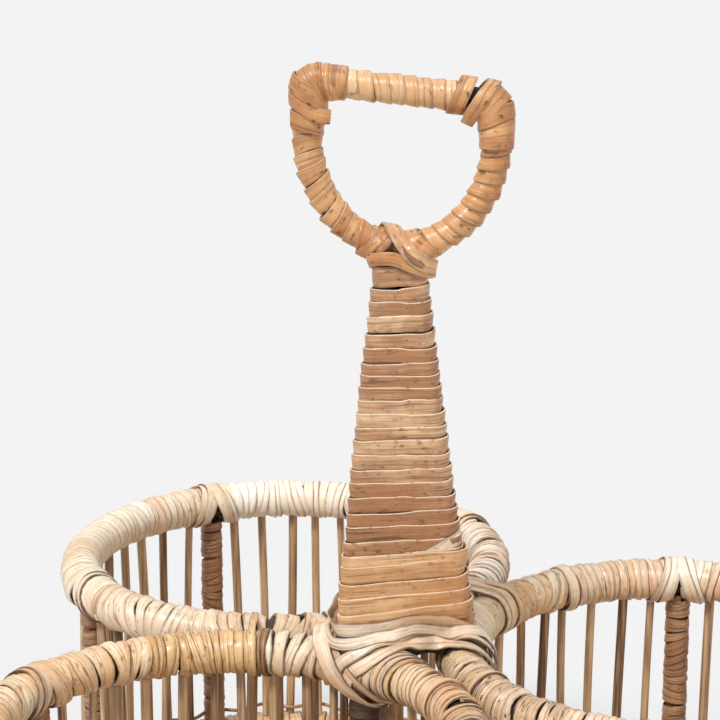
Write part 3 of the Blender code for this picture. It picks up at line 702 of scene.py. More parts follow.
# Each length: the ring, the angles it runs between from where the ring faces the stem, its
# pitch and width in mm, how far its turns slant and stray in mm, and its cane
RIM_LENGTHS = (
    (1, 3, 30, 2.8, 3.1, 2.6, 0.8, rim_rough),
    (1, 30, 60, 3.1, 3.4, 3.8, 1.1, rim_rough),
    (1, 60, 178, 2.8, 3.4, 2.6, 0.8, rim_cream),
    (1, 178, 302, 2.9, 4.2, 1.4, 0.4, rim_tan),
    # Beside the stem, ring 1 takes warmer amber cane to offset the grey of the stem's shade: painted light.
    (1, 303, 357, 3.2, 4.4, 2.6, 0.6, rim_amber),
    # The middle ring's first two lengths take the paler lit copy: painted light.
    (2, 3, 120, 3.6, 4.8, 1.6, 0.4, rim_white),
    (2, 120, 183, 2.8, 4.0, 1.6, 0.4, rim_white),
    (2, 183, 205, 3.2, 4.5, 2.2, 0.6, rim_tan),
    (2, 205, 240, 3.1, 4.2, 1.8, 0.4, rim_pale),
    (2, 240, 282, 4.0, 4.5, 4.0, 1.1, rim_pale),
    (2, 282, 357, 3.2, 4.4, 3.0, 0.7, rim_cream),
    (3, 3, 27, 4.0, 5.4, 2.6, 0.6, rim_cream),
    (3, 27, 58, 2.5, 3.5, 1.6, 0.5, rim_honey),
    (3, 58, 82, 3.4, 4.0, 3.8, 1.2, rim_amber),
    (3, 82, 140, 2.8, 3.5, 3.0, 1.0, rim_amber),
    (3, 140, 319, 2.8, 4.0, 2.0, 0.5, rim_cream),
    (3, 319, 347, 2.3, 3.0, 1.4, 0.45, rim_striped),
)
POST_ANGLES = (90, 180, 270)
POST_GAP = 2.5
RIM_THICKNESS = 1.25 * MM


def between_posts(first, last):
    """The parts of a length of winding that the post ties leave free."""
    starts = [first] + [angle + POST_GAP for angle in POST_ANGLES if first < angle < last]
    ends = [angle - POST_GAP for angle in POST_ANGLES if first < angle < last] + [last]
    return zip(starts, ends)


lengths_of = {ring: [length for length in RIM_LENGTHS if length[0] == ring] for ring in RINGS}
for ring in RINGS:
    _, _, half = PLACES[ring]
    pieces = [(*part, *length[3:]) for length in lengths_of[ring] for part in between_posts(*length[1:3])]
    for place, (first, last, pitch, width, slant, stray, stuff) in enumerate(pieces):
        item, length = ring_path(f"rim_winding_{ring}_{place + 1}", ring, RIM_Z, first - 0.4, last + 0.4)
        grown(
            item, winding_tree, side=(0, 0, 1), core_radius=half - 0.95 * MM,
            turns=length / (pitch * MM), points_per_turn=18, shingle=0.26, skew=slant * MM,
            wander=stray * MM, lift=(0.1 + 0.25 * stray) * MM, width=width * MM, thickness=RIM_THICKNESS,
            unevenness=0.1 + 0.12 * stray, seed=20.0 + ring * 8 + place, cane=stuff,
        )
        dressed(item, "rim_cane", f"rim_binding_{ring}")

# ---------------------------------------------------------------------------------------------
# Stem. One rod comes up from each ring, and the three lean and twist together under the handle.
# A single length of broad cane is wound down round them, its upper edges standing proud.
# ---------------------------------------------------------------------------------------------
FOOT = STEM + Vector((0, 0, RIM_Z))
ROD_RADIUS = 3.4 * MM
LEAN_START = 14 * MM
LEAN_HEIGHT = 112 * MM
FOOT_HEIGHT = 16 * MM
FOOT_TWIST = radians(-16)
STEM_TWIST = radians(-17)
TIP_DISTANCE = 5.3 * MM
ROD_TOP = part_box("stem_rod_1")[1].z


def rod_middle(ring, height):
    """The middle of a stem rod, which leans in and twists round the stem as it rises."""
    middle, radius, _ = PLACES[ring]
    away = middle - STEM
    share = min(max((height - RIM_Z - LEAN_START) / LEAN_HEIGHT, 0), 1)
    bent = min(max((height - RIM_Z) / FOOT_HEIGHT, 0), 1)
    foot = away.length - radius
    distance = foot + (TIP_DISTANCE - foot) * share
    turn = atan2(away.y, away.x) + FOOT_TWIST * bent + STEM_TWIST * share
    return Vector((STEM.x + distance * cos(turn), STEM.y + distance * sin(turn), height))


# The rods are near-black: painted shade where they show between the stem's turns and under its neck.
for ring in RINGS:
    low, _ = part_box(f"stem_rod_{ring}")
    heights = [low.z + (ROD_TOP - low.z) * place / 60 for place in range(61)]
    item = line(f"stem_rod_of_ring_{ring}", [rod_middle(ring, height) for height in heights])
    grown(item, strand_tree, radius=ROD_RADIUS, sides=14, stuff=dark_pole)
    dressed(item, "rattan_pole", f"stem_rod_{ring}")


def stem_section(share, height, reach):
    """A point round the stem, and the way it faces. share goes once round, from the front's middle."""
    place = share * 3 % 3
    corner, part = int(place), place % 1
    order = (3, 2, 1)
    rod, before, after = order[corner], order[corner - 1], order[(corner + 1) % 3]
    middles = {ring: rod_middle(ring, height) for ring in order}
    axis = sum(middles.values(), Vector()) / 3
    way = atan2(middles[rod].y - axis.y, middles[rod].x - axis.x)
    flat = 0.2
    middle = middles[rod]
    if part < flat:
        middle = middles[before].lerp(middle, 0.5 + part / flat / 2)
        turn = 1 / 2
    elif part > 1 - flat:
        middle = middle.lerp(middles[after], (part - 1 + flat) / flat / 2)
        turn = -1 / 2
    else:
        turn = 1 / 2 - (part - flat) / (1 - 2 * flat)
    way += turn * tau / 3
    facing = Vector((cos(way), sin(way), 0))
    return Vector((middle.x, middle.y, height)) + facing * reach, facing


# The height of each turn's upper edge over the rims in mm, and how ripe its cane is
STEM_TURNS = (
    (130.6, 0.1), (130.1, 0.1), (123.8, 0.55), (119.6, 0.6), (115.4, -0.2), (109.2, 0.15),
    (104.8, 0.4), (100.0, 0.25), (95.8, 0.35), (92.2, 0.1), (88.0, -0.05), (83.5, -0.4),
    (79.3, 0.25), (75.0, 0.0), (70.1, 0.1), (65.6, 0.15), (61.0, 0.45), (56.4, 0.4),
    (51.4, 0.85), (46.8, 0.9), (42.1, 0.2), (37.8, 0.1),
)
FOOT_TURNS = (
    (37.2, -0.2), (34.2, 0.1), (28.2, 0.3), (23.8, 0.0), (18.9, 0.15), (13.6, 0.3), (9.4, 0.2),
)
STATIONS = 42
EDGE_DROP = 2.8
stem_cane = cane(
    "stem_cane", seen(240, 200, 156), seen(184, 130, 88), seen(78, 48, 32), 0.05, 1.0, 0.6, 0.3, 0.8,
)
foot_cane = cane(
    "foot_cane", seen(244, 200, 150), seen(212, 154, 98), seen(106, 66, 40), 0.05, 0.8, 0.4, 0.3, 0.6,
)


def stem_wrap(name, turns, reach, early, fold, seed):
    """The line of one length of cane round the stem, down the turns from a little before the first.
    fold is how far its folded start stands off, in mm."""
    points, facings, tints = [], [], []
    for place in range(-int(early * STATIONS), (len(turns) - 1) * STATIONS + 1):
        turn = min(max(place // STATIONS, 0), len(turns) - 2)
        share = place / STATIONS - turn
        upper, lower = turns[turn], turns[turn + 1]
        height = upper[0] + (lower[0] - upper[0]) * share - EDGE_DROP
        height += 0.25 * sin(turn * 2.3 + seed + 5 * share)
        slope = 0.055 * max(0.0, 1 - height / 60) - 0.02 * min(height / 100, 1)
        loose = 0.14 * sin(turn * 1.9 + seed) * sin(tau * share + turn)
        loose += fold * max(0, 1 - abs(place / STATIONS + 0.17) / 0.13)
        loose -= 0.18 * fold * max(0, 1 - place / STATIONS / 2)
        point, facing = stem_section(share, RIM_Z + height * MM, (reach + loose) * MM)
        point.z += slope * (point.x - STEM.x)
        points.append(point)
        facings.append((facing - Vector((0, 0, 0.085))).normalized())
        tints.append((upper[1] if share < 0.9 else (upper[1] + lower[1]) / 2) - 0.2)
    return line(name, points, facings, tints=tints)


def build_laid_tree(strip_tree):
    """Lays a strip along an object's own edges."""
    tree, given, out = new_tree("laid cane", "GeometryNodeTree", {
        "Line": ("NodeSocketGeometry", None), "Width": ("NodeSocketFloat", 4 * MM),
        "Thickness": ("NodeSocketFloat", 0.7 * MM), "Unevenness": ("NodeSocketFloat", 0.1),
        "Seed": ("NodeSocketFloat", 0.0), "Cane": ("NodeSocketMaterial", None),
    }, {"Strip": "NodeSocketGeometry"})
    path = add(tree, "GeometryNodeMeshToCurve", {"Mesh": given["Line"]}).outputs[0]
    strip = add(tree, "GeometryNodeGroup", node_tree=strip_tree)
    tree.links.new(path, strip.inputs["Line"])
    for label in ("Width", "Thickness", "Unevenness", "Seed", "Cane"):
        tree.links.new(given[label], strip.inputs[label])
    real = add(tree, "GeometryNodeRealizeInstances", {"Geometry": strip.outputs[0]})
    skin = add(tree, "GeometryNodeSetMaterial", {"Geometry": real.outputs[0], "Material": given["Cane"]})
    tree.links.new(skin.outputs[0], out["Strip"])
    return tree


laid_tree = build_laid_tree(strip_tree)
item = stem_wrap("stem_winding", STEM_TURNS, 4.0, 0, 0, 1.0)
grown(item, laid_tree, width=5.6 * MM, thickness=0.75 * MM, unevenness=0.05, seed=71.0, cane=stem_cane)
dressed(item, "stem_cane", "stem_binding")
item = stem_wrap("foot_winding", FOOT_TURNS, 4.5, 0.3, 1.6, 2.0)
grown(item, laid_tree, width=6.1 * MM, thickness=0.9 * MM, unevenness=0.05, seed=72.0, cane=foot_cane)
dressed(item, "stem_cane", "foot_binding")

# ---------------------------------------------------------------------------------------------
# Crossed strips at the stem's foot. Broad strips are slung over the rims from ring to ring and
# drawn tight round the foot of the stem, one over another. Their ends are tucked in underneath.
# ---------------------------------------------------------------------------------------------
HOLLOW = 3 * MM
TUCKED = 0.2 * MM
STEM_REACH = 4.5 * MM
FEEL = (Vector((0.2 * MM, 0, 0)), Vector((0, 0.2 * MM, 0)), Vector((0, 0, 0.2 * MM)))


def blended(first, second):
    """The distance from two bodies at once, with the hollow between them rounded."""
    near = max(HOLLOW - abs(first - second), 0) / HOLLOW
    return min(first, second) - near * near * HOLLOW / 4


def from_stem(point):
    """How far a point is outside the wound stem."""
    corners = [rod_middle(ring, point.z) for ring in RINGS]
    inside, away = True, 1.0
    for here, there in zip(corners, corners[1:] + corners[:1]):
        side, off = there - here, point - here
        share = min(max(off.dot(side) / side.length_squared, 0), 1)
        away = min(away, (off - side * share).length)
        inside = inside and side.x * off.y > side.y * off.x
    away = (0 if inside else away) - STEM_REACH
    over = max(RIM_Z - 4 * MM - point.z, point.z - ROD_TOP - 5 * MM, 0)
    return hypot(max(away, 0), over) if over else away


def from_foot(point):
    """How far a point is outside the wound rims and the stem that stands on them."""
    away = from_stem(point)
    for middle, radius, half in PLACES.values():
        flat = hypot(point.x - middle.x, point.y - middle.y) - radius
        away = blended(away, hypot(flat, point.z - RIM_Z) - half)
    return away


def pressed(point, lift, away):
    """Moves a point out to where a strip lies on the basket, and finds the way it faces there."""
    for _ in range(4):
        facing = Vector([away(point + step) - away(point - step) for step in FEEL]).normalized()
        point = point + facing * max(lift - away(point), 0)
    return point, facing


def curved(stops, closed, step=0.8 * MM):
    """A smooth line through a few stops."""
    if closed:
        ends = [stops[-1]] + stops + stops[:2]
    else:
        ends = [stops[0] * 2 - stops[1]] + stops + [stops[-1] * 2 - stops[-2]]
    points = []
    for before, here, there, after in zip(ends, ends[1:], ends[2:], ends[3:]):
        count = max(int((there - here).length / step), 1)
        for place in range(count):
            share = place / count
            bend = (before * 2 - here * 5 + there * 4 - after) * share ** 2
            bend += (here * 3 - before - there * 3 + after) * share ** 3
            points.append((here * 2 + (there - before) * share + bend) / 2)
    return points if closed else points + [stops[-1]]


def laid(
    name, stops, width, away, stuff, lift=0.5, thickness=0.8, tint=0.0, closed=False, tip=0.0, uneven=0.05,
    sink=0,
):
    """Lays a strip through its stops, which are in mm from the stem's axis at the rims' height.
    tip is how far its upper edge stands proud, and sink how many points its ends take to go down."""
    points = curved([FOOT + Vector(stop) * MM for stop in stops], closed)
    placed = [pressed(point, lift * MM, away) for point in points]
    for place in range(sink):
        share = (1 - place / sink) ** 2
        for end in (place, -1 - place):
            point, facing = placed[end]
            placed[end] = (point - facing * (away(point) - TUCKED) * share, facing)
    facings = [facing for _, facing in placed]
    for _ in range(6):
        before = facings[-1:] + facings[:-1] if closed else facings[:1] + facings[:-1]
        after = facings[1:] + facings[:1] if closed else facings[1:] + facings[-1:]
        facings = [(sum(trio, Vector())).normalized() for trio in zip(before, facings, after)]
    facings = [(facing - Vector((0, 0, tip))).normalized() for facing in facings]
    item = line(name, [point for point, _ in placed], facings, closed, [tint] * len(placed))
    seed = sum(stops[0]) + width
    grown(item, laid_tree, width=width * MM, thickness=thickness * MM, unevenness=uneven, seed=seed, cane=stuff)
    return item


crossed_cane = cane(
    "crossed_cane", seen(255, 243, 220), seen(235, 194, 154), seen(86, 52, 32), 0.0, 0.7, 0.3, 0.3,
)
# Each strip: its name, width, lift and tint, and its stops
CROSSED = (
    ("band_over_right_ring", 4.4, 2.2, 0.05, (
        (-11, 6, 13), (-17, -2, 13), (-20, -11, 13), (-18.6, -18.6, 13.2), (-14.7, -20.8, 13.6),
        (-8.4, -19.4, 13.6), (-2, -17.4, 14.1), (4.3, -15.5, 15.6), (10.7, -13.8, 15.6),
        (17.1, -11.8, 14.4), (22.9, -9, 11.2), (27.2, -5.4, 6.6), (29.3, -4.6, 1), (28, -4, -6), (25, -4, -8.5),
    )),
    ("band_across_front", 3.9, 3.9, -0.2, (
        (-12, 4, 8), (-17.5, -4, 8), (-20.8, -11, 8.2), (-19.2, -18.2, 8.6), (-14.9, -21.6, 9.3),
        (-8.3, -20.9, 9.5), (-3.6, -18.8, 10.7), (1.2, -16.9, 12.6), (7.5, -14.8, 13.6),
        (13.9, -12.6, 12.4), (20.4, -10.2, 10), (25.8, -8.6, 7.2), (28.9, -8.4, 2), (28.6, -8, -5), (25, -8, -8.2),
    )),
    ("band_from_left_ring", 4.4, 3.0, 0.15, (
        (-17.5, -22, -8), (-19, -23.6, -2), (-16.9, -24, 3.1), (-11.2, -24.2, 6.8), (-5, -21.4, 8.9),
        (1.2, -17.4, 10.2), (7.5, -15, 10.6), (13.9, -13, 9.6), (20.5, -13.4, 9.2),
        (26.6, -14.2, 7.3), (30, -15, 2), (29.6, -15, -5), (26.4, -14, -8.2),
    )),
    ("band_under_front", 4.8, 1.2, -0.2, (
        (-14, -22, -9), (-15.8, -26, -4), (-13.8, -26.4, 1), (-9, -27.6, 4.8), (-3.6, -26.2, 8),
        (1.2, -22.4, 9), (6.4, -19, 9), (11.5, -16.6, 8.6), (17.4, -16, 8.5), (23.8, -18, 8.2),
        (28.4, -20.5, 5), (30, -21, -2),
    )),
    ("sling_over_left_ring", 6.0, 4.0, 0.1, (
        (-14, 2, 17.5), (-19.6, -4, 16.4), (-22.9, -6.5, 12.7), (-24.3, -11, 9.8), (-24.1, -15.5, 8.2),
        (-23.4, -19, 6.4), (-21.2, -22.6, 2.8), (-17.2, -24.8, -1.8), (-12.2, -25.6, -5.4),
        (-6.6, -25.4, -8.4), (-1, -24, -9.4),
    )),
    ("sling_inside", 3.8, 2.2, 0.4, (
        (-15, -2, 16), (-19.2, -10, 14), (-20.6, -13.6, 10.6), (-20.6, -17.4, 8.7), (-19.4, -20.8, 5.8),
        (-16.8, -23.6, 2.6), (-13.4, -26.2, -0.6), (-8.9, -28.4, -3.4), (-4.2, -30, -6.2), (0, -30, -8.6),
    )),
)
# A near-black strip in the hollow under the crossed strips: painted shade, standing in for the shadow there.
item = laid(
    "strip_in_the_hollow", ((-3, -18, 4), (3, -16, 6), (9, -13.5, 7), (14, -12, 6.5), (19, -12, 4), (23, -12, 0)),
    7.0, from_foot, dark_pole, 0.3,
)
dressed(item, "brown_cane")
for name, width, lift, tint, stops in CROSSED:
    item = laid(name, stops, width, from_foot, crossed_cane, lift, 0.95, tint, tip=0.15, sink=9)
    dressed(item, "stem_cane")
item = laid(
    "tucked_end", ((8, -10, 35.2), (12, -9, 37.2), (15, -8, 39.4), (17.4, -7, 41.6), (19, -5, 43),
                   (19.4, -2, 43.8), (17, 2, 44.3)), 5.0, from_foot, crossed_cane, -0.15, 0.5, -0.3,
)
dressed(item, "stem_cane")

# ---------------------------------------------------------------------------------------------
# Ties on the rims. Two strips cross over the rim at the head of each post and run down beside it.
# Where two rings touch, a few turns hold both rims together, and ragged brown ends mark a join.
# ---------------------------------------------------------------------------------------------
tie_brown = cane(
    "tie_brown", seen(196, 142, 94), seen(122, 80, 50), seen(34, 22, 16), 0.1, 1.2, 1.2, relief=0.4,
)
LOOP_POINTS = 40
LOOP_TILT = 0.17
LOOP_THICKNESS = 1.0 * MM


def rim_loop(name, ring, angle, width, lift, shift, out_shift, top_shift, stuff, uneven=0.08):
    """One turn round a rim, shifted along it in mm, more on its outer side or on its top. Its edge
    away from the stem or from the post stands proud."""
    middle, radius, half = PLACES[ring]
    points, facings = [], []
    for place in range(LOOP_POINTS):
        turn = tau * place / LOOP_POINTS
        along = (shift + out_shift * cos(turn) + top_shift * sin(turn)) * MM
        way = ring_way(ring, angle) + along / radius
        outward = Vector((cos(way), sin(way), 0))
        facing = outward * cos(turn) + Vector((0, 0, sin(turn)))
        points.append(middle + Vector((0, 0, RIM_Z)) + outward * radius + facing * (half + lift * MM))
        forward = Vector((-outward.y, outward.x, 0)) * (LOOP_TILT if angle > 300 or shift < 0 else -LOOP_TILT)
        facings.append((facing + forward).normalized())
    item = line(name, points, facings, True)
    grown(
        item, laid_tree, width=width * MM, thickness=LOOP_THICKNESS, unevenness=uneven,
        seed=angle + shift + ring, cane=stuff,
    )
    return item


rim_canes = {1: rim_pale, 2: rim_pale, 3: rim_cream}
for ring in RINGS:
    for angle in POST_ANGLES:
        for side, (shift, top_shift, width, lift) in enumerate((
            (-3.2, 3.2, 4.8, 0.35), (3.6, -2.6, 4.4, 0.3), (6.4, -3.0, 4.4, 0.1), (-6.0, 3.0, 3.6, 0.0),
        )):
            name = f"post_tie_{ring}_{angle}_{side + 1}"
            item = rim_loop(name, ring, angle, width, lift, shift, 0.3, top_shift, rim_canes[ring])
            dressed(item, "rim_cane")


def rings_loop(name, first, second, shift, width, lift, stuff, slant):
    """One turn round the rims of two rings, where they touch."""
    middle, _, half = PLACES[first]
    other = PLACES[second][0]
    across = (other - middle).normalized()
    along = Vector((-across.y, across.x, 0))
    touch = (middle + other) / 2 + Vector((0, 0, RIM_Z)) + along * shift * MM
    apart = (other - middle).length / 2 - PLACES[first][1]
    points, facings = [], []
    for place in range(LOOP_POINTS * 2):
        turn = tau * place / LOOP_POINTS / 2
        facing = across * cos(turn) + Vector((0, 0, sin(turn)))
        end = across * apart * max(min(cos(turn) * 3, 1), -1)
        lean = along * slant * cos(turn) * MM
        points.append(touch + end + lean + facing * (half + lift * MM))
        facings.append(facing)
    item = line(name, points, facings, True)
    grown(item, laid_tree, width=width * MM, thickness=LOOP_THICKNESS, unevenness=0.2, seed=shift + first, cane=stuff)
    return item


TIES = (
    ("left_tie", 2, 3, "rim_lashing_2", rim_honey, ((-1.2, 2.6, -0.1, 1.6),)),
    # The tie between rings 1 and 2 takes warmer amber cane to offset the grey of its shade: painted light.
    ("pale_tie", 1, 2, "rim_lashing_1", rim_amber, ((-4.2, 4.2, 0.5, 1.0), (0, 4.0, 0.7, -0.8), (4.0, 4.2, 0.5, 0.8))),
)
for label, first, second, node, stuff, turns in TIES:
    for place, (shift, width, lift, slant) in enumerate(turns):
        item = rings_loop(f"{label}_{place + 1}", first, second, shift, width, lift, stuff, slant)
        dressed(item, "rim_cane", node)
for place, (ring, angle, stuff) in enumerate(((3, 330, rim_striped), (1, 30, rim_cream))):
    item = rim_loop(f"front_tie_{place + 1}", ring, angle, 3.4, 0.1, 0, 0.6, 0, stuff)
    dressed(item, "rim_cane", "rim_lashing_3")

# The broad turns that fan out of the crossed strips, the join on the right ring, and the first
# broad turns beside the stem on the left
for place, (ring, angle, width, lift, out_shift, top_shift, stuff) in enumerate((
    (3, 357.5, 4.4, 1.3, -3.0, -1.0, crossed_cane), (3, 354.6, 4.2, 1.0, -3.6, -1.0, rim_cream),
    (3, 352.0, 4.2, 0.75, -3.8, -0.8, crossed_cane), (3, 349.6, 4.2, 0.5, -3.8, -0.6, rim_cream),
    (3, 347.4, 4.0, 0.25, -3.4, -0.4, crossed_cane), (3, 345.6, 3.6, 0.0, -2.8, -0.4, rim_honey),
    (3, 28.4, 1.4, 0.1, 0.8, -0.6, tie_brown), (3, 27.4, 1.2, 0.25, -0.6, 0.9, tie_brown),
    # The thin dark turn at ring 1's join, at 302.4 degrees, is partly its ragged brown end and partly painted shade
    # under the step where the new length starts.
    (3, 26.4, 1.8, 0.05, -0.3, 0.4, tie_brown), (1, 302.4, 1.0, 0.1, 0.9, 0.4, tie_brown),
    (1, 303.8, 3.8, 0.4, 0.3, 0.3, rim_pale), (1, 3.4, 3.6, 0.6, 1.6, 0.5, crossed_cane),
    (1, 5.6, 3.4, 0.4, 1.8, 0.2, rim_rough), (1, 7.6, 3.4, 0.25, 1.4, 0.6, rim_rough),
    # Ring 1's broad turns beside the stem take warmer amber and tan cane to offset the stem's shade: painted light.
    (1, 352.0, 4.8, 0.6, -2.4, 0.5, rim_amber), (1, 348.4, 4.6, 0.4, -2.8, 0.5, rim_tan),
    (1, 345.0, 4.6, 0.2, -2.8, 0.5, rim_amber), (1, 341.8, 4.4, 0.05, -2.6, 0.5, rim_amber),
    (2, 4.0, 5.0, 0.4, 2.0, 0.5, crossed_cane), (2, 355.0, 5.0, 0.4, -2.0, 0.5, crossed_cane),
    (3, 5.0, 5.0, 0.6, 2.4, 0.5, crossed_cane), (3, 8.6, 4.8, 0.4, 1.8, -0.5, rim_cream),
)):
    uneven = 0.4 if stuff is tie_brown else 0.08
    item = rim_loop(f"broad_turn_{place + 1}", ring, angle, width, lift, 0, out_shift, top_shift, stuff, uneven)
    dressed(item, "rim_cane")

# ---------------------------------------------------------------------------------------------
# Handle. A bow bent to a U stands on the stem, and a straight bar lies across its ends. Both are
# wound with honey cane, which fans round the two corners.
# ---------------------------------------------------------------------------------------------
BAR_SLOPE = radians(5.6)
POLE_RADIUS = 3.5 * MM
CORNER_ROUND = 4.5 * MM
HANDLE_PITCH = 4.6 * MM
handle_cane = cane(
    "handle_cane", seen(238, 184, 126), seen(190, 126, 72), seen(88, 52, 28), 0.05, 0.65, 0.8, 0.3, 0.35,
)
bar_cane = cane(
    "bar_cane", seen(250, 212, 164), seen(220, 166, 112), seen(104, 66, 40), 0.1, 0.6, 0.7, 0.3, 0.3,
)
bow_low, bow_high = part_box("handle_bow")
bar_low, bar_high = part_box("handle_bar")
BOW_HALF = (bow_high.x - bow_low.x) / 2 - POLE_RADIUS
BOW_FOOT = bow_low.z + POLE_RADIUS
BOW_DEPTH = 36 * MM
BAR_MIDDLE = (bar_low.z + bar_high.z) / 2


def handle_line():
    """The handle's middle line, once round from the stem: up the right, along the bar, down the left."""
    points = []
    for place in range(21):
        turn = pi / 2 * place / 20
        points.append(Vector((BOW_HALF * sin(turn), 0, BOW_FOOT + BOW_DEPTH * (1 - cos(turn)))))
    corners = [Vector((side * BOW_HALF, 0, BAR_MIDDLE - side * BOW_HALF * tan(BAR_SLOPE))) for side in (1, -1)]
    for corner, start, end in (
        (corners[0], Vector((0, 0, -1)), (corners[1] - corners[0]).normalized()),
        (corners[1], (corners[0] - corners[1]).normalized(), Vector((0, 0, -1))),
    ):
        for place in range(9):
            share = place / 8
            first, last = corner + start * CORNER_ROUND, corner + end * CORNER_ROUND
            points.append(first.lerp(corner, share).lerp(corner.lerp(last, share), share))
    for place in range(20, -1, -1):
        turn = pi / 2 * place / 20
        points.append(Vector((-BOW_HALF * sin(turn), 0, BOW_FOOT + BOW_DEPTH * (1 - cos(turn)))))
    return [point + STEM for point in points]


whole = handle_line()
travel = [0]
for before, after in zip(whole, whole[1:]):
    travel.append(travel[-1] + (after - before).length)


def handle_stretch(first, last, step=0.8 * MM):
    """The points of the handle's line between two distances along it."""
    points = []
    count = max(int((last - first) / step), 2)
    for place in range(count + 1):
        here = first + (last - first) * place / count
        at = next((number for number in range(1, len(travel)) if travel[number] >= here), len(travel) - 1)
        share = (here - travel[at - 1]) / (travel[at] - travel[at - 1])
        points.append(whole[at - 1].lerp(whole[at], share))
    return points


corner_right = travel[20 + 5]
corner_left = travel[20 + 14]
for name, node, first, last, seed, shingle in (
    ("bow_winding_right", "bow_binding", 0.5 * MM, corner_right - 12.5 * MM, 81.0, 0.2),
    ("bar_winding", "bar_binding", corner_right + 11.5 * MM, corner_left - 7 * MM, 83.0, 0.13),
    ("bow_winding_left", "bow_binding", corner_left + 13 * MM, travel[-1] - 1 * MM, 85.0, 0.2),
):
    item = line(name, handle_stretch(first, last))
    grown(
        item, winding_tree, side=(0, 1, 0), core_radius=POLE_RADIUS + 0.7 * MM,
        turns=(last - first) / HANDLE_PITCH, points_per_turn=18, shingle=shingle, skew=0.9 * MM,
        wander=0.5 * MM, lift=0.14 * MM, width=5.9 * MM, thickness=0.9 * MM, unevenness=0.06,
        seed=seed, cane=bar_cane if node == "bar_binding" else handle_cane,
    )
    dressed(item, "handle_cane", node)
coarse = handle_stretch(0, travel[-1], 3 * MM)


def from_handle(point):
    """How far a point is outside the wound handle."""
    away = 1.0
    for here, there in zip(coarse, coarse[1:]):
        side, off = there - here, point - here
        share = min(max(off.dot(side) / side.length_squared, 0), 1)
        away = min(away, (off - side * share).length)
    return away - POLE_RADIUS - 1.05 * MM


def from_neck(point):
    """How far a point is outside the handle's foot and the stem under it."""
    return blended(from_stem(point), from_handle(point))


def tilted_turn(outer, inner):
    """The stops of a turn round the handle, from its outer side to its inner side and back."""
    stops = []
    for place in range(12):
        turn = tau * place / 12
        share = (1 + cos(turn)) / 2
        stops.append((
            inner[0] + (outer[0] - inner[0]) * share, -5.3 * sin(turn), inner[1] + (outer[1] - inner[1]) * share,
        ))
    return stops


# Each turn at a corner: its name, CAD node, the two points it goes round, in mm from the stem's
# axis at the rims' height, its width, lift and tint
CORNER_TURNS = (
    ("left_fan_5", "corner_lashing_left", (-19.6, 193.2), (-20.6, 183.0), 5.4, 0.35, 0.1),
    ("left_fan_4", "corner_lashing_left", (-22.6, 193.4), (-22.4, 182.9), 4.6, 0.5, 0.2),
    ("left_fan_3", "corner_lashing_left", (-25.2, 193.6), (-23.2, 182.9), 4.4, 0.65, 0.0),
    ("left_fan_2", "corner_lashing_left", (-27.9, 193.4), (-23.8, 182.7), 4.6, 0.8, 0.2),
    ("left_fan_1", "corner_lashing_left", (-30.8, 192.0), (-24.2, 182.4), 5.2, 0.95, 0.0),
    ("left_sweep", "corner_lashing_left", (-34.2, 188.6), (-23.6, 181.0), 5.4, 1.2, 0.0),
    ("left_under", "corner_lashing_left", (-35.0, 177.0), (-25.0, 173.8), 5.4, 0.45, 0.3),
    ("left_thin_1", "corner_lashing_left", (-26.4, 193.7), (-23.6, 182.8), 2.0, 1.1, 0.4),
    ("left_thin_2", "corner_lashing_left", (-23.6, 193.7), (-22.8, 182.9), 1.8, 0.9, -0.2),
    ("right_bump", "corner_lashing_right", (21.0, 190.3), (16.4, 179.9), 5.4, 0.9, 0.0),
    ("right_fan_4", "corner_lashing_right", (33.2, 170.6), (24.6, 170.6), 5.4, 0.4, 0.2),
    ("right_fan_3", "corner_lashing_right", (33.0, 175.4), (24.4, 173.8), 5.2, 0.55, 0.1),
    ("right_fan_2", "corner_lashing_right", (32.4, 180.2), (24.0, 175.8), 5.2, 0.7, 0.3),
    ("right_fan_1", "corner_lashing_right", (30.9, 184.8), (23.4, 177.0), 5.6, 0.85, 0.1),
    ("neck_turn_left", "neck_binding", (-13.2, 133.2), (-4.4, 141.6), 3.8, 0.6, 0.0),
    ("neck_turn_patch", "neck_binding", (-8.6, 134.4), (-2.6, 141.8), 4.6, 0.2, 0.5),
    ("neck_turn_right", "neck_binding", (10.4, 133.8), (2.6, 141.2), 4.6, 0.4, 0.1),
)
for name, node, outer, inner, width, lift, tint in CORNER_TURNS:
    away = from_neck if node == "neck_binding" else from_handle
    item = laid(name, tilted_turn(outer, inner), width, away, handle_cane, lift, 0.8, tint, True)
    dressed(item, "handle_cane", node)

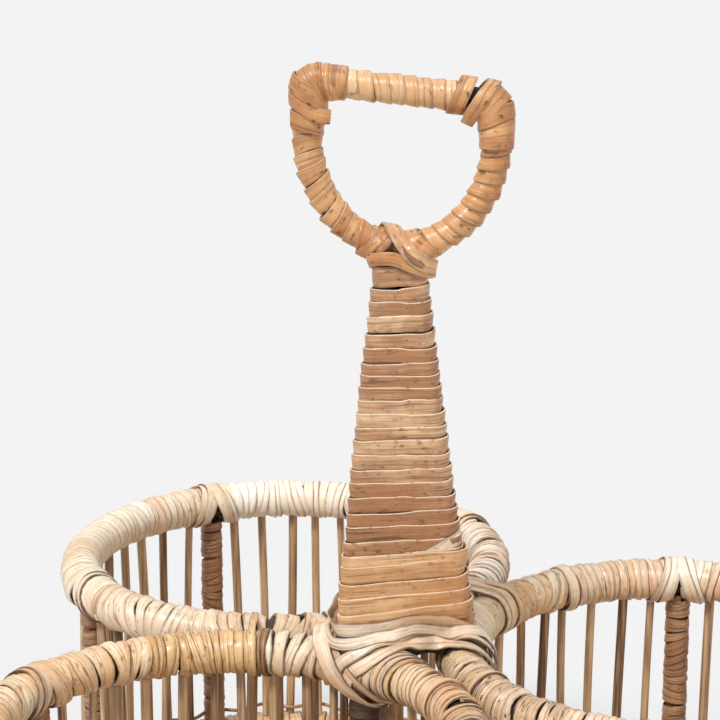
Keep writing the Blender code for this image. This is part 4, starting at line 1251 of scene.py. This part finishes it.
# The strips with a loose, square-cut end, and the collar under them
stained_cane = cane(
    "stained_cane", seen(238, 190, 140), seen(206, 152, 102), seen(96, 62, 48), 0.0, 0.9, 0.6, 0.3, 0.4,
)
bark_stain = cane(
    "bark_stain", seen(196, 142, 104), seen(140, 94, 72), seen(84, 54, 44), 0.2, 1.0, 1.0, relief=0.4,
)
LOOSE = (
    ("left_loose_end", "corner_lashing_left", 4.6, 0.9, 0.05, handle_cane, (
        (-25, 4, 174), (-29, 5, 177), (-33, 4, 181), (-35, 0.6, 183.6), (-33.8, -3, 182.8),
        (-31.2, -5, 181), (-28.2, -5.2, 179.2), (-25.4, -4.8, 178.2), (-22.4, -4.0, 177.8),
    )),
    ("right_loose_end", "corner_lashing_right", 4.9, 1.3, -0.2, handle_cane, (
        (20.5, 4, 177), (23, 5, 181), (26.4, 4.4, 186), (28.6, 1.6, 189), (28.3, -2, 188.3),
        (25.8, -4.9, 185), (23.2, -5.2, 181), (20.4, -5, 176.4),
    )),
    ("neck_collar", "neck_binding", 4.4, 0.9, -0.3, handle_cane, (
        (10.4, 1.5, 129.2), (5.5, 6.5, 131), (-3, 7.4, 132), (-8.6, 3.4, 131.8), (-10.2, -2.2, 131.4),
        (-8.8, -4.2, 132.5), (-6.4, -5.6, 133.3), (-4, -6.6, 133.6), (-1.5, -7, 133.4), (1.3, -7.3, 132.4),
        (3.9, -7.4, 131.3), (6.6, -6.6, 130.2), (9.2, -4.6, 129), (10.8, -2, 128.8),
    )),
    ("neck_crossing", "neck_binding", 5.2, 1.6, -0.1, stained_cane, (
        (-10, 5, 133), (-7.4, 5.8, 137), (-5, 4.6, 141.2), (-3.6, 1, 143), (-2, -3.6, 142.2),
        (-0.3, -6.4, 140), (1.4, -7.6, 137.7), (3.6, -8.2, 135.2), (6.2, -8, 133.1), (8.8, -6.8, 131.4),
        (11.2, -4.6, 130.4),
    )),
    ("neck_bark", "neck_binding", 0.9, 2.1, 0.0, bark_stain, (
        (-2.2, -3.2, 142.6), (-1, -5.4, 140.6), (0.7, -7.6, 137.6), (2.6, -8.6, 135.2), (4.8, -8.6, 133.2),
        (7.2, -8, 131.6),
    )),
)
for name, node, width, lift, tint, stuff, stops in LOOSE:
    away = from_neck if node == "neck_binding" else from_handle
    bark = stuff is bark_stain
    item = laid(name, stops, width, away, stuff, lift, 0.3 if bark else 0.85, tint, uneven=0.9 if bark else 0.05)
    dressed(item, "handle_cane", node)
# The handle's poles are near-black: painted shade where they show between turns.
item = line("handle_bow_pole", handle_stretch(corner_left, travel[-1]) + handle_stretch(0, corner_right)[1:])
grown(item, strand_tree, radius=POLE_RADIUS, sides=16, stuff=dark_pole)
dressed(item, "rattan_pole", "handle_bow")
item = line("handle_bar_pole", handle_stretch(corner_right, corner_left))
grown(item, strand_tree, radius=POLE_RADIUS, sides=16, stuff=dark_pole)
dressed(item, "rattan_pole", "handle_bar")

# ---------------------------------------------------------------------------------------------
# Stage: a pale floor, plain soft light, and the camera where the photograph was taken from.
# ---------------------------------------------------------------------------------------------
BACKGROUND = seen(242, 242, 242)
PAPER = seen(220, 220, 220)
SHADOW_SHARE = 0.35


def plain_to_camera(tree):
    """One where the camera, a mirror or a glass looks, and nought where light falls."""
    path = add(tree, "ShaderNodeLightPath")
    seen_by = number(tree, "MAXIMUM", path.outputs["Is Camera Ray"], path.outputs["Is Glossy Ray"])
    return number(tree, "MAXIMUM", seen_by, path.outputs["Is Transmission Ray"])


def floor_finish():
    """Matt white paper, which is seen as the plain backdrop but for the basket's soft shadow."""
    material = bpy.data.materials.new("floor_finish")
    material.use_nodes = True
    tree = material.node_tree
    shader = tree.nodes["Principled BSDF"]
    shader.inputs["Base Color"].default_value = PAPER
    shader.inputs["Roughness"].default_value = 1
    shader.inputs["Specular IOR Level"].default_value = 0
    plain = add(tree, "ShaderNodeEmission", {"Color": BACKGROUND, "Strength": 1.0})
    share = number(tree, "MULTIPLY", plain_to_camera(tree), 1 - SHADOW_SHARE)
    mixed = add(tree, "ShaderNodeMixShader", {0: share, 1: shader.outputs[0], 2: plain.outputs[0]})
    tree.links.new(mixed.outputs[0], tree.nodes["Material Output"].inputs["Surface"])
    return material


bpy.ops.mesh.primitive_plane_add(size=8, location=(0, 0, 0))
floor = bpy.context.object
floor.name = "floor"
floor.data.materials.append(floor_finish())

world = bpy.data.worlds.new("studio")
world.use_nodes = True
bpy.context.scene.world = world
tree = world.node_tree
soft_light = tree.nodes["Background"]
soft_light.inputs["Color"].default_value = (1, 1, 1, 1)
soft_light.inputs["Strength"].default_value = 0.42
backdrop = add(tree, "ShaderNodeBackground", {"Color": BACKGROUND, "Strength": 1.0})
both = add(tree, "ShaderNodeMixShader", {
    0: plain_to_camera(tree), 1: soft_light.outputs[0], 2: backdrop.outputs[0],
})
tree.links.new(both.outputs[0], tree.nodes["World Output"].inputs["Surface"])


def sun(name, strength, spread, azimuth, elevation):
    """A broad soft light from far off, at a bearing round the basket and a height over it."""
    light = bpy.data.lights.new(name, "SUN")
    light.energy = strength
    light.angle = spread
    item = bpy.data.objects.new(name, light)
    item.rotation_euler = (pi / 2 - elevation, 0, azimuth)
    bpy.context.scene.collection.objects.link(item)


sun("key", 2.55, radians(14), radians(-34), radians(52))
sun("top", 0.5, radians(40), radians(170), radians(62))
sun("fill", 0.6, radians(60), radians(55), radians(25))

CAMERA_AZIMUTH = radians(3.8767)
CAMERA_ELEVATION = radians(21.5)
CAMERA_DISTANCE = 781.39 * MM
AIM_AZIMUTH = radians(4.9172)
AIM_DOWN = radians(14.468)
camera = bpy.data.cameras.new("camera")
camera.sensor_width = 36
camera.lens = 2332.26 * 36 / 720
camera_item = bpy.data.objects.new("camera", camera)
back = Vector((
    sin(CAMERA_AZIMUTH) * cos(CAMERA_ELEVATION), -cos(CAMERA_AZIMUTH) * cos(CAMERA_ELEVATION),
    sin(CAMERA_ELEVATION),
))
camera_item.location = STEM + Vector((0, 0, RIM_Z)) + back * CAMERA_DISTANCE
camera_item.rotation_euler = (pi / 2 - AIM_DOWN, 0, AIM_AZIMUTH)
bpy.context.scene.collection.objects.link(camera_item)
bpy.context.scene.camera = camera_item
bpy.context.scene.view_settings.view_transform = "Standard"
